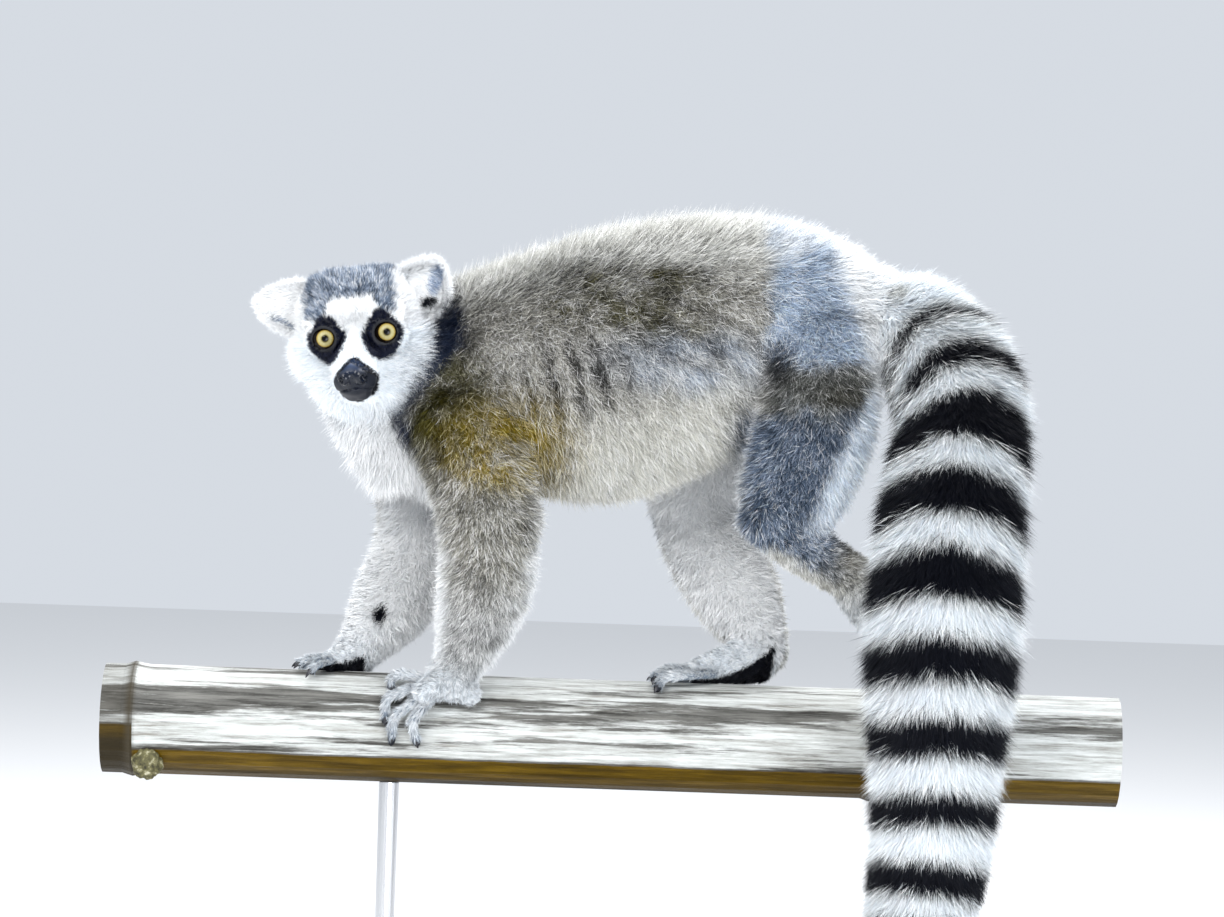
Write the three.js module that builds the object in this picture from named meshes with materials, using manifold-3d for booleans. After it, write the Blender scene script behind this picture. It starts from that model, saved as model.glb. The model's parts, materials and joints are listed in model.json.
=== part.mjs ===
// A life-size standing model of a ring-tailed lemur that walks along a cut length of bamboo, with its
// head turned over its left side and its tail hanging down in front of the cane. Each solid is the
// outer form of the animal out to the tips of its coat. Millimetres; +Z up; the lemur faces -X and its
// left side faces -Y; the origin is the middle of the underside of the stand's base.
import * as THREE from "three";
import { mergeVertices } from "three/addons/utils/BufferGeometryUtils.js";
import Module from "manifold-3d";

const wasm = await Module();
wasm.setup();

// ---------------------------------------------------------------- driving dimensions
const GAP = 0.5; // air between neighbouring solids
const SIMPLER = 0.2; // how far a surface may move where slivers are dropped
const CANE_LEVEL = 285; // height of the bamboo's axis
const CANE_RADIUS = 33;
const CANE_START = -322;
const CANE_END = 287;
const CANE_BORE = 26; // radius of the hollow inside
const END_HOLLOWS = [14, 40]; // how far the cane is hollow at its start and at its end
const CANE_NODES = [-302, 141]; // where the nodes of the bamboo stand out
const NODE_RISE = 1.8;
const BASE_LENGTH = 400;
const BASE_WIDTH = 236;
const BASE_THICK = 18;
const BASE_CORNER = 30;
const ROD_RADIUS = 6;
const ROD_SPREAD = 150; // each rod stands this far from the middle
const COLLAR_RADIUS = 13;
const COLLAR_HEIGHT = 8;

// The head stands in a frame of its own: its origin is midway between the eyes, x runs across the face
// to the lemur's left, y runs forward out of the face and z runs up the brow.
const FACE_AT = new THREE.Vector3(-176, -62, 521.5);
const HEAD_ROLL = 8.3; // degrees that the head leans to its right
const HEAD_YAW = 3; // degrees that the face looks forward of straight left
const EYE_SPACING = 36.8;
const EYE_RADIUS = 9.2;
const EYE_DEPTH = 8.4; // from the face's origin back to the eye's centre
const EAR_REACH = { left: 40, right: 45 }; // from the middle of the head out to each ear's centre

// ---------------------------------------------------------------- stations of the coat's outer form
// Each station is [x, y, z, deep, wide]: a centre, the half depth in the plane of the limb's bend and
// the half width from side to side.
const TRUNK = [
  [-130, 0, 482, 66, 46],
  [-74, 0, 499, 72, 55],
  [-32, 0, 506, 80, 58],
  [10, 0, 521, 76, 58],
  [51, 0, 535, 66, 55],
  [87, 0, 540, 54, 49],
  [113, 0, 540, 38, 38],
];
const NECK = [
  [-167, -24, 507, 36, 32],
  [-154, -9, 491, 47, 38],
  [-139, 0, 482, 60, 44],
];
const TAIL = [
  [104, 0, 537, 28, 28],
  [140, -12, 537, 35, 35],
  [165, -32, 521, 39, 40],
  [178, -50, 497, 40, 41],
  [180, -66, 469, 41, 42],
  [177, -80, 436, 43, 43],
  [174.5, -90, 400, 44, 44],
  [173, -94, 358, 44.5, 44.5],
  [172, -93, 297, 39, 39],
  [171, -91, 240, 35.5, 35.5],
  [166, -89, 190, 32, 32],
  [163, -88, 140, 28, 28],
  [164, -88, 92, 25, 25],
  [167, -88, 56, 19, 19],
];
const TAIL_LENGTHS = 6;

// The left legs are the near ones; each joint keeps its own place because every leg is in mid step.
const LEGS = {
  upper_arm_left: [
    [-112, -34, 482, 40, 24],
    [-101, -43, 444, 32, 25],
    [-93, -46, 414, 29, 24],
  ],
  forearm_left: [
    [-93, -46, 416, 29, 24],
    [-94, -42, 385, 29, 24],
    [-98, -36, 362, 26, 22],
    [-106, -30, 336, 18, 17],
    [-112, -27, 322, 14.5, 14],
  ],
  upper_arm_right: [
    [-130, 28, 474, 44, 25],
    [-134, 38, 436, 33, 24],
    [-134, 41, 402, 27, 23],
  ],
  forearm_right: [
    [-134, 41, 404, 27, 23],
    [-142, 36, 380, 27, 22],
    [-153, 27, 357, 25, 20],
    [-166, 17, 337, 17, 17],
    [-174, 11, 327, 13, 12.5],
  ],
  thigh_left: [
    [97, -28, 532, 42, 27],
    [98, -40, 506, 37, 27],
    [97, -48, 480, 36, 26],
    [89, -53, 451, 34, 23],
    [81, -56, 432, 31, 19],
  ],
  shank_left: [
    [71, -58, 428, 22, 18],
    [87, -54, 411, 18, 16],
    [106, -46, 397, 15.5, 15],
    [128, -37, 385, 14.5, 14],
  ],
  thigh_right: [
    [80, 28, 524, 40, 26],
    [52, 42, 477, 37, 25],
    [24, 51, 430, 29, 22],
  ],
  shank_right: [
    [24, 52, 426, 24, 20],
    [38, 45, 399, 28, 22],
    [55, 35, 371, 27, 21],
    [68, 24, 348, 19, 17],
    [75, 17, 336, 14, 14],
  ],
};
const ORDER_OF_LEGS = [
  ["upper_arm_left", "forearm_left", "hand_left"],
  ["upper_arm_right", "forearm_right", "hand_right"],
  ["thigh_left", "shank_left", "foot_left"],
  ["thigh_right", "shank_right", "foot_right"],
];

// Each palm or sole is one or two runs of stations.
const PALMS = {
  hand_left: [
    [
      [-112, -28, 321, 13, 14],
      [-122, -33, 315, 9, 14],
      [-131, -36, 309, 7, 12],
    ],
    [
      [-112, -30, 315, 9, 11],
      [-101, -31, 309, 6, 9],
    ],
  ],
  hand_right: [
    [
      [-172, 12, 328, 11, 12],
      [-182, 7, 324, 7.5, 12],
      [-191, 3, 322, 6, 11],
    ],
  ],
  foot_left: [
    [
      [126, -37, 382, 15, 14],
      [136, -33, 369, 15, 13],
      [148, -28, 350, 11, 12],
      [158, -23, 334, 8, 11],
    ],
  ],
  foot_right: [
    [
      [74, 12, 330, 11, 9],
      [62, 12, 331, 14, 11],
      [48, 11, 328, 11, 11],
      [32, 8, 324, 7.5, 12],
    ],
  ],
};
// Each joint of a digit is [along the cane, degrees round it from the top towards the lemur's left,
// height of the digit's middle over the cane]. The first digit of each is the thumb or great toe.
const DIGITS = {
  hand_left: [
    [[-117, 20, 9], [-122, 0, 7], [-126, -22, 3.2]],
    [[-126, 34, 8], [-141, 34, 8], [-149, 37, 6], [-149, 46, 3.2]],
    [[-129, 46, 8], [-144, 54, 8], [-151, 61, 6], [-152, 82, 3]],
    [[-128, 54, 8], [-139, 67, 8.5], [-146, 76, 6.5], [-148, 102, 3]],
    [[-126, 60, 8], [-133, 73, 8.5], [-135, 82, 6], [-132, 102, 3]],
  ],
  hand_right: [
    [[-182, 8, 7.5], [-193, 17, 7], [-199, 27, 3.4]],
    [[-188, 0, 6.5], [-199, 4, 6], [-206, 8, 3.2]],
    [[-189, -10, 6.5], [-200, -12, 5.5], [-208, -14, 3]],
    [[-189, -18, 6.5], [-200, -26, 5.5], [-207, -34, 3]],
    [[-186, -26, 6.5], [-196, -40, 5.5], [-201, -52, 3]],
  ],
  foot_left: [
    [[150, 4, 32], [160, -14, 20], [168, -34, 3.4]],
    [[160, 14, 30], [172, 10, 20], [180, 10, 3.4]],
    [[161, 24, 28], [174, 24, 18], [183, 26, 3.4]],
    [[160, 32, 27], [173, 38, 17], [181, 42, 3.4]],
    [[157, 40, 26], [168, 50, 16], [175, 56, 3.4]],
  ],
  foot_right: [
    [[46, 2, 8], [28, 16, 7], [14, 21, 6], [8, 36, 3.2]],
    [[34, -8, 7.5], [20, 2, 7], [10, 9, 5], [7, 20, 3.2]],
    [[33, -14, 7.5], [16, -8, 7], [8, 6, 3.2]],
    [[33, -22, 7.5], [15, -24, 6.5], [6, -22, 3.2]],
    [[35, -30, 7.5], [19, -38, 6], [10, -42, 3.2]],
  ],
};
const DIGIT_ROOT_RADIUS = 4.2;
const DIGIT_TIP_RADIUS = 2.9;

// ---------------------------------------------------------------- solids and surfaces
// The closed solid that a three.js geometry bounds.
function solidFrom(geometry) {
  const bare = geometry.clone();
  for (const name of Object.keys(bare.attributes)) {
    if (name !== "position") bare.deleteAttribute(name);
  }
  const merged = mergeVertices(bare, 1e-4);
  const mesh = new wasm.Mesh({
    numProp: 3,
    vertProperties: merged.attributes.position.array,
    triVerts: new Uint32Array(merged.index.array),
  });
  return new wasm.Manifold(mesh);
}

// The three.js geometry of a solid's surface, after slivers from the cuts are dropped.
function geometryFrom(solid) {
  const bodies = solid.decompose();
  bodies.sort((a, b) => b.volume() - a.volume());
  const mesh = bodies[0].simplify(SIMPLER).getMesh();
  const geometry = new THREE.BufferGeometry();
  geometry.setAttribute("position", new THREE.BufferAttribute(mesh.vertProperties, 3));
  geometry.setIndex(new THREE.BufferAttribute(mesh.triVerts, 1));
  return geometry;
}

function joined(solids) {
  return solids.reduce((whole, next) => whole.add(next));
}

// A closed tube of elliptical rings along a smooth curve through the stations. An end is a round cap,
// as long as `cap` times the end's half depth, or a flat cut where the cap is 0.
function tube(stations, options = {}) {
  const { grow = 0, sides = 12, perSpan = 1, caps = [0.8, 0.8], from = 0, to = 1, endGap = 0 } = options;
  const side = options.side ?? new THREE.Vector3(0, 1, 0);
  const line = new THREE.CatmullRomCurve3(stations.map(([x, y, z]) => new THREE.Vector3(x, y, z)));
  const girth = new THREE.CatmullRomCurve3(stations.map(([, , , deep, wide]) => new THREE.Vector3(deep, wide, 0)));
  const count = Math.max(2, Math.round((stations.length - 1) * perSpan * (to - from)));
  const capAngles = options.capAngles ?? [90, 50];
  const rings = [];

  function addRing(t, shift, share) {
    const tangent = line.getTangent(t);
    const across = side.clone().addScaledVector(tangent, -side.dot(tangent)).normalize();
    const up = new THREE.Vector3().crossVectors(tangent, across);
    const centre = line.getPoint(t).addScaledVector(tangent, shift);
    const size = girth.getPoint(t);
    rings.push({ centre, up, across, deep: (size.x + grow) * share, wide: (size.y + grow) * share });
  }
  function addCap(t, length, sign, angles) {
    for (const degrees of angles) {
      const a = THREE.MathUtils.degToRad(degrees);
      const share = degrees === 90 ? 0 : Math.cos(a);
      addRing(t, sign * (length + grow) * Math.sin(a), share);
    }
  }
  if (caps[0]) addCap(from, caps[0] * girth.getPoint(from).x, -1, capAngles);
  if (endGap && !caps[0]) addRing(from, -endGap, 1);
  for (let i = 0; i <= count; i++) addRing(from + ((to - from) * i) / count, 0, 1);
  if (endGap && !caps[1]) addRing(to, endGap, 1);
  if (caps[1]) addCap(to, caps[1] * girth.getPoint(to).x, 1, [...capAngles].reverse());
  return solidFrom(skinOver(rings, sides));
}

// The surface over a row of rings, closed by a point at each end.
function skinOver(rings, sides) {
  const points = [];
  for (const { centre, up, across, deep, wide } of rings) {
    for (let k = 0; k < sides; k++) {
      const a = (k / sides) * 2 * Math.PI;
      const at = centre.clone();
      at.addScaledVector(up, deep * Math.cos(a)).addScaledVector(across, wide * Math.sin(a));
      points.push(at.x, at.y, at.z);
    }
  }
  const ends = [rings[0].centre, rings[rings.length - 1].centre];
  for (const end of ends) points.push(end.x, end.y, end.z);
  const first = rings.length * sides;
  const faces = [];
  for (let k = 0; k < sides; k++) {
    const next = (k + 1) % sides;
    for (let i = 0; i + 1 < rings.length; i++) {
      const [a, b, c, d] = [i * sides + k, i * sides + next, (i + 1) * sides + k, (i + 1) * sides + next];
      faces.push(a, d, b, a, c, d);
    }
    const last = (rings.length - 1) * sides;
    faces.push(first, k, next, first + 1, last + next, last + k);
  }
  const geometry = new THREE.BufferGeometry();
  geometry.setAttribute("position", new THREE.BufferAttribute(new Float32Array(points), 3));
  geometry.setIndex(faces);
  return dropFlatFaces(geometry);
}

// Rings of no radius collapse to a point, and their faces go with them.
function dropFlatFaces(geometry) {
  const merged = mergeVertices(geometry, 1e-4);
  const index = merged.index.array;
  const kept = [];
  for (let i = 0; i < index.length; i += 3) {
    const [a, b, c] = [index[i], index[i + 1], index[i + 2]];
    if (a !== b && b !== c && c !== a) kept.push(a, b, c);
  }
  merged.setIndex(kept);
  return merged;
}

// An ellipsoid in the head's frame, turned about the frame's axes by `turn` degrees.
const headFrame = new THREE.Matrix4().compose(
  FACE_AT,
  new THREE.Quaternion().setFromEuler(
    new THREE.Euler(0, THREE.MathUtils.degToRad(-HEAD_ROLL), Math.PI - THREE.MathUtils.degToRad(HEAD_YAW), "YXZ"),
  ),
  new THREE.Vector3(-1, 1, 1),
);
function headPoint(x, y, z) {
  return new THREE.Vector3(x, y, z).applyMatrix4(headFrame);
}
function ball(centre, radii, { grow = 0, turn = [0, 0, 0], wide = 20, tall = 14 } = {}) {
  const geometry = new THREE.SphereGeometry(1, wide, tall);
  geometry.scale(radii[0] + grow, radii[1] + grow, radii[2] + grow);
  const angles = turn.map((a) => THREE.MathUtils.degToRad(a));
  geometry.applyMatrix4(new THREE.Matrix4().makeRotationFromEuler(new THREE.Euler(...angles)));
  geometry.translate(...centre);
  geometry.applyMatrix4(headFrame);
  return solidFrom(facingOut(geometry, headFrame));
}
// A frame that mirrors turns the faces inside out, so their corners are taken the other way round.
function facingOut(geometry, frame) {
  if (frame.determinant() < 0) {
    const index = geometry.index.array;
    for (let i = 0; i < index.length; i += 3) [index[i + 1], index[i + 2]] = [index[i + 2], index[i + 1]];
  }
  return geometry;
}
function headTube(stations, options = {}) {
  const placed = stations.map(([x, y, z, deep, wide]) => [...headPoint(x, y, z), deep, wide]);
  const side = headPoint(1, 0, 0).sub(headPoint(0, 0, 0));
  return tube(placed, { ...options, side });
}

// ---------------------------------------------------------------- the animal
function head(grow = 0) {
  const crown = ball([0, -30, 9], [34, 35, 33], { grow, wide: 16, tall: 10 });
  const cheeks = ball([0, -26, -10], [42.5, 24, 28], { grow, wide: 16, tall: 9 });
  const muzzle = headTube([[0, -14, -8, 20, 22], [0, 8, -17, 14, 15], [0, 26, -25, 10, 11.5]], { grow, sides: 10, caps: [0.5, 0.75] });
  const jaw = headTube([[0, -24, -24, 16, 22], [0, 4, -31, 9, 13], [0, 21, -34, 5.5, 7.5]], { grow, sides: 10, caps: [0.5, 0.8] });
  return joined([crown, cheeks, muzzle, jaw]);
}
function eye(sign, grow = 0) {
  const r = EYE_RADIUS;
  return ball([(sign * EYE_SPACING) / 2, -EYE_DEPTH, 0], [r, r, r], { grow, wide: 10, tall: 8 });
}
function nose(grow = 0) {
  return ball([0, 35, -24], [7, 4.5, 5.5], { grow, wide: 10, tall: 6 });
}
// The opening in front of each eye, between the lids.
function lidOpening(sign) {
  const x = (sign * EYE_SPACING) / 2;
  return headTube([[x, -8, 0, 7, 7], [x * 1.08, 14, 1, 11, 11]], { sides: 10, caps: [0, 0] });
}
// A cupped outer ear: a leaning leaf-shaped form with its hollow turned forward and outward.
function ear(sign, grow = 0) {
  const out = sign > 0 ? EAR_REACH.left : EAR_REACH.right;
  const shell = ball([sign * out, -38, 19], [19, 9, 18.5], { grow, turn: [8, sign * -34, sign * -14], wide: 12, tall: 8 });
  const hollow = ball([sign * (out + 5), -27, 19], [9, 8, 11], { turn: [8, sign * -26, sign * -14], wide: 8, tall: 6 });
  return grow ? shell : shell.subtract(hollow);
}

// A digit from three or four joints, thinner at its tip.
function digit(points, grow) {
  const last = points.length - 1;
  const stations = points.map((p, i) => {
    const r = THREE.MathUtils.lerp(DIGIT_ROOT_RADIUS, DIGIT_TIP_RADIUS, i / last);
    return [...p, r, r];
  });
  const side = new THREE.Vector3(0.8, 0.6, 0.1);
  return tube(stations, { grow, sides: 6, side, caps: [0, 0.9] });
}
function onCane([x, degrees, height]) {
  const a = THREE.MathUtils.degToRad(degrees);
  const r = CANE_RADIUS + height;
  return [x, -r * Math.sin(a), CANE_LEVEL + r * Math.cos(a)];
}
function extremity(name, grow) {
  const palms = PALMS[name].map((stations) => tube(stations, { grow, sides: 9, caps: [0.8, 0.7] }));
  const digits = DIGITS[name].map((joints) => digit(joints.map(onCane), grow));
  return joined([...palms, ...digits]);
}

// The cane's outline, turned about its axis: hollow at each open end, with raised nodes.
function cane(grow = 0) {
  const r = CANE_RADIUS + grow;
  const [start, end] = [CANE_START - grow, CANE_END + grow];
  const ridge = [[-8, 0], [-2, 1], [1.5, 0.5], [7, 0]];
  const nodes = CANE_NODES.flatMap((at) => ridge.map(([along, rise]) => [r + NODE_RISE * rise, at + along]));
  const [near, far] = END_HOLLOWS;
  const opening = grow ? [[0, start]] : [[0, start + near], [CANE_BORE, start + near], [CANE_BORE, start]];
  const closing = grow ? [[0, end]] : [[CANE_BORE, end], [CANE_BORE, end - far], [0, end - far]];
  const profile = [...opening, [r, start], ...nodes, [r, end], ...closing];
  const geometry = new THREE.LatheGeometry(profile.map(([x, y]) => new THREE.Vector2(x, y)), 24);
  geometry.rotateZ(-Math.PI / 2);
  geometry.translate(0, 0, CANE_LEVEL);
  return solidFrom(dropFlatFaces(onlyPlaces(geometry)));
}
function onlyPlaces(geometry) {
  geometry.deleteAttribute("normal");
  geometry.deleteAttribute("uv");
  return geometry;
}

// ---------------------------------------------------------------- the stand
function standBase() {
  const [w, d, c] = [BASE_LENGTH / 2, BASE_WIDTH / 2, BASE_CORNER];
  const outline = new THREE.Shape();
  outline.moveTo(-w + c, -d);
  outline.lineTo(w - c, -d);
  outline.absarc(w - c, -d + c, c, -Math.PI / 2, 0);
  outline.lineTo(w, d - c);
  outline.absarc(w - c, d - c, c, 0, Math.PI / 2);
  outline.lineTo(-w + c, d);
  outline.absarc(-w + c, d - c, c, Math.PI / 2, Math.PI);
  outline.lineTo(-w, -d + c);
  outline.absarc(-w + c, -d + c, c, Math.PI, 1.5 * Math.PI);
  const bevel = 2.5;
  const geometry = new THREE.ExtrudeGeometry(outline, {
    depth: BASE_THICK - bevel,
    bevelEnabled: true,
    bevelThickness: bevel,
    bevelSize: bevel,
    bevelOffset: -bevel,
    bevelSegments: 1,
    curveSegments: 5,
  });
  const whole = solidFrom(onlyPlaces(geometry));
  const floor = new THREE.BoxGeometry(2 * BASE_LENGTH, 2 * BASE_WIDTH, 20);
  floor.translate(0, 0, -10);
  return whole.subtract(solidFrom(onlyPlaces(floor)));
}
function rod(x) {
  const bottom = BASE_THICK + GAP;
  const top = CANE_LEVEL - CANE_RADIUS + 4;
  const profile = [
    [0, bottom],
    [COLLAR_RADIUS, bottom],
    [COLLAR_RADIUS, bottom + COLLAR_HEIGHT - 2],
    [COLLAR_RADIUS - 2, bottom + COLLAR_HEIGHT],
    [ROD_RADIUS, bottom + COLLAR_HEIGHT],
    [ROD_RADIUS, top],
    [0, top],
  ].map(([r, z]) => new THREE.Vector2(r, z));
  const geometry = new THREE.LatheGeometry(profile, 20);
  geometry.rotateX(Math.PI / 2);
  geometry.translate(x, 0, 0);
  return solidFrom(dropFlatFaces(onlyPlaces(geometry)));
}

// ---------------------------------------------------------------- finishes and assembly
const FINISH = {
  grey_coat: { color: 0x9d968c, roughness: 0.9, metalness: 0 },
  white_coat: { color: 0xe9e7e0, roughness: 0.9, metalness: 0 },
  ringed_coat: { color: 0x6d6a68, roughness: 0.9, metalness: 0 },
  dark_skin: { color: 0x17181b, roughness: 0.45, metalness: 0 },
  eye: { color: 0xc9a227, roughness: 0.08, metalness: 0 },
  bamboo: { color: 0xc2ba9f, roughness: 0.6, metalness: 0 },
  stand_wood: { color: 0x2b211b, roughness: 0.4, metalness: 0 },
  stand_metal: { color: 0x8d9095, roughness: 0.3, metalness: 1 },
};
const model = new THREE.Group();
model.name = "lemur_on_a_cane";

// Every solid is cut back from those already in place, each grown by the air gap.
const inPlace = [];
function put(name, finish, build) {
  const solid = inPlace.reduce((left, other) => left.subtract(other), build(0));
  inPlace.push(build(GAP));
  const mesh = new THREE.Mesh(geometryFrom(solid), new THREE.MeshStandardMaterial(FINISH[finish]));
  mesh.name = name;
  model.add(mesh);
}

put("stand_perch", "bamboo", cane);
put("stand_base", "stand_wood", standBase);
put("stand_rod_fore", "stand_metal", () => rod(-ROD_SPREAD));
put("stand_rod_hind", "stand_metal", () => rod(ROD_SPREAD));

put("eye_left", "eye", (grow) => eye(1, grow));
put("eye_right", "eye", (grow) => eye(-1, grow));
put("nose", "dark_skin", nose);
put("trunk", "grey_coat", (grow) => tube(TRUNK, { grow, sides: 18, perSpan: 1.5, caps: [0.55, 0.55], capAngles: [90, 60, 30] }));
put("head", "white_coat", (grow) => (grow ? head(grow) : head().subtract(lidOpening(1)).subtract(lidOpening(-1))));
put("neck", "white_coat", (grow) => tube(NECK, { grow, sides: 14, caps: [0.4, 0.5] }));
put("ear_left", "white_coat", (grow) => ear(1, grow));
put("ear_right", "white_coat", (grow) => ear(-1, grow));

for (const [upper, lower, end] of ORDER_OF_LEGS) {
  put(upper, "grey_coat", (grow) => tube(LEGS[upper], { grow, caps: [0.8, 0.5] }));
  put(lower, "grey_coat", (grow) => tube(LEGS[lower], { grow }));
  put(end, "white_coat", (grow) => extremity(end, grow));
}
for (let i = 0; i < TAIL_LENGTHS; i++) {
  const from = i / TAIL_LENGTHS;
  const to = (i + 1) / TAIL_LENGTHS;
  const caps = [i ? 0 : 0.6, i < TAIL_LENGTHS - 1 ? 0 : 0.9];
  put(`tail_${i + 1}`, "ringed_coat", (grow) => tube(TAIL, { grow, sides: 14, perSpan: 1.6, from, to, caps, endGap: grow }));
}

export default model;
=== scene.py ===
import json
from math import cos, pi, radians, sin
from types import SimpleNamespace

import bpy
import numpy as np
from mathutils import Matrix

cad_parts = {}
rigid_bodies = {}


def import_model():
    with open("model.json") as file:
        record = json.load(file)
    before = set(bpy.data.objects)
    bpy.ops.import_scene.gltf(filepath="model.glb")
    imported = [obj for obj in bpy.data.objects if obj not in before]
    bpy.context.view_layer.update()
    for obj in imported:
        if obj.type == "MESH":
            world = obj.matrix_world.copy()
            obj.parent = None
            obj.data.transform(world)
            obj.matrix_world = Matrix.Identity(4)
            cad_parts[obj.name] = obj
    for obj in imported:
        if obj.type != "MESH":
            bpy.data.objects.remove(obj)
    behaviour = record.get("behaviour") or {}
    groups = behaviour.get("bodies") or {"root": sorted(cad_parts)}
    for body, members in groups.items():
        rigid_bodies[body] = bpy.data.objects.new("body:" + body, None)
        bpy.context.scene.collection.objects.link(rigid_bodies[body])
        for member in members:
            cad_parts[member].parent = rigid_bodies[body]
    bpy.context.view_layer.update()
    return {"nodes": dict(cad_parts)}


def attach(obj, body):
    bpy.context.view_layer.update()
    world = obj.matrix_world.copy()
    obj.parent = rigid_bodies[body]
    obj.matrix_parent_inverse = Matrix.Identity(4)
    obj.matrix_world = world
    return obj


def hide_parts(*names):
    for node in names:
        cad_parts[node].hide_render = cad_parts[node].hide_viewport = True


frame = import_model()

# Sizes are in millimetres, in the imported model's own frame, until a mesh is made from them.
MM = 0.001
random = np.random.default_rng(20)


# ------------------------------------------------------------------ camera, light and floor
VIEW_DISTANCE = 2800
VIEW_LIFT = radians(3)
VIEW_ROLL = radians(2)
VIEW_AIM = np.array([-22.6, 0, 451.5])
VIEW_WIDTH = 734.4  # millimetres across the frame at the aim point
FLOOR_REACH = 4000


def add_camera():
    """A camera level with the animal's side, a little above it, leaning by the roll."""
    forward = np.array([0, cos(VIEW_LIFT), -sin(VIEW_LIFT)])
    level = np.array([1.0, 0, 0])
    up = np.cross(level, forward)
    right = level * cos(VIEW_ROLL) + up * sin(VIEW_ROLL)
    top = up * cos(VIEW_ROLL) - level * sin(VIEW_ROLL)
    data = bpy.data.cameras.new("camera")
    data.lens = data.sensor_width * VIEW_DISTANCE / VIEW_WIDTH
    data.clip_end = 50
    camera = bpy.data.objects.new("camera", data)
    matrix = np.eye(4)
    matrix[:3, :3] = np.column_stack([right, top, -forward])
    matrix[:3, 3] = (VIEW_AIM - forward * VIEW_DISTANCE) * MM
    camera.matrix_world = Matrix(matrix)
    bpy.context.scene.collection.objects.link(camera)
    bpy.context.scene.camera = camera


def add_area_light(name, place, aim, width, power, colour=(1, 1, 1)):
    """A square soft box at a place, turned to shine on the aim point."""
    data = bpy.data.lights.new(name, "AREA")
    data.shape = "SQUARE"
    data.size = width * MM
    data.energy = power
    data.color = colour
    light = bpy.data.objects.new(name, data)
    direction = np.array(aim, float) - np.array(place, float)
    back = -direction / np.linalg.norm(direction)
    right = np.cross([0, 0, 1], back)
    right /= np.linalg.norm(right)
    matrix = np.eye(4)
    matrix[:3, :3] = np.column_stack([right, np.cross(back, right), back])
    matrix[:3, 3] = np.array(place) * MM
    light.matrix_world = Matrix(matrix)
    bpy.context.scene.collection.objects.link(light)


def add_lights():
    """A warm key from the upper left, cooler fill and low lights in front, a light over the back, a
    small one for the eyes' glint, and a pale sky all round."""
    middle = (-20, 0, 430)
    add_area_light("key_light", (-900, -1500, 1700), middle, 1200, 40, (1, 0.985, 0.96))
    add_area_light("fill_light", (900, -2000, 250), middle, 1300, 32, (0.94, 0.97, 1))
    add_area_light("top_light", (100, 700, 1900), middle, 1200, 58)
    add_area_light("low_light", (350, -1500, 160), (40, 0, 380), 600, 5.5)
    add_area_light("catch_light", (-300, -2400, 1500), middle, 110, 2.6)
    world = bpy.data.worlds.new("studio")
    world.use_nodes = True
    background = world.node_tree.nodes["Background"]
    background.inputs["Color"].default_value = (0.84, 0.89, 0.96, 1)
    background.inputs["Strength"].default_value = 0.8
    bpy.context.scene.world = world
    bpy.context.scene.view_settings.view_transform = "Standard"


# ------------------------------------------------------------------ meshes from arrays
def add_piece(name, points, faces, colours=None, bare=None, uv=None, smooth=True):
    """One mesh object from arrays: points in millimetres, faces as rows of equal length."""
    mesh = bpy.data.meshes.new(name)
    corners = faces.shape[1]
    mesh.vertices.add(len(points))
    mesh.vertices.foreach_set("co", (points * MM).astype(np.float32).ravel())
    mesh.loops.add(faces.size)
    mesh.loops.foreach_set("vertex_index", faces.astype(np.int32).ravel())
    mesh.polygons.add(len(faces))
    mesh.polygons.foreach_set("loop_start", np.arange(0, faces.size, corners, dtype=np.int32))
    mesh.polygons.foreach_set("use_smooth", np.full(len(faces), smooth))
    if colours is not None:
        paint = mesh.attributes.new("coat_colour", "FLOAT_COLOR", "POINT")
        rgba = np.column_stack([colours, np.ones(len(colours))])
        paint.data.foreach_set("color", rgba.astype(np.float32).ravel())
    if bare is not None:
        mesh.attributes.new("bare", "FLOAT", "POINT").data.foreach_set("value", bare.astype(np.float32))
    if uv is not None:
        layer = mesh.uv_layers.new(name="OFBake")
        layer.data.foreach_set("uv", uv[faces.ravel()].astype(np.float32).ravel())
    mesh.update(calc_edges=True)
    piece = bpy.data.objects.new(name, mesh)
    bpy.context.scene.collection.objects.link(piece)
    return piece


def unit(vectors):
    """Each vector over its own length."""
    return vectors / (np.linalg.norm(vectors, axis=-1, keepdims=True) + 1e-9)


def smooth_line(points, count):
    """The cubic Catmull-Rom curve through the points, at evenly spaced parameters."""
    p = np.asarray(points, float)
    padded = np.vstack([2 * p[0] - p[1], p, 2 * p[-1] - p[-2]])
    t = np.linspace(0, len(p) - 1, count)
    i = np.minimum(t.astype(int), len(p) - 2)
    f = (t - i)[:, None]
    a, b, c, d = (padded[i + k] for k in range(4))
    return 0.5 * (2 * b + (c - a) * f + (2 * a - 5 * b + 4 * c - d) * f**2 + (3 * b - a - 3 * c + d) * f**3)


def ramp(x, low, high):
    """Rises smoothly from 0 at low to 1 at high."""
    t = np.clip((x - low) / (high - low), 0, 1)
    return t * t * (3 - 2 * t)


def hashed(cells, seed):
    """A repeatable pseudo-random number from 0 to 1 for each row of whole numbers."""
    mixed = cells @ np.array([127.1, 311.7, 74.7]) + seed * 17.3
    return np.modf(np.abs(np.sin(mixed) * 43758.5453))[0]


def cloud(points, size, seed):
    """Smooth noise from -1 to 1: random values at the corners of cubes, blended across each cube."""
    q = points / size
    cell = np.floor(q)
    f = q - cell
    f = f * f * (3 - 2 * f)
    total = np.zeros(len(points))
    for corner in np.ndindex(2, 2, 2):
        weight = np.prod(np.where(corner, f, 1 - f), axis=1)
        total += weight * hashed(cell + corner, seed)
    return total * 2 - 1


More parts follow.
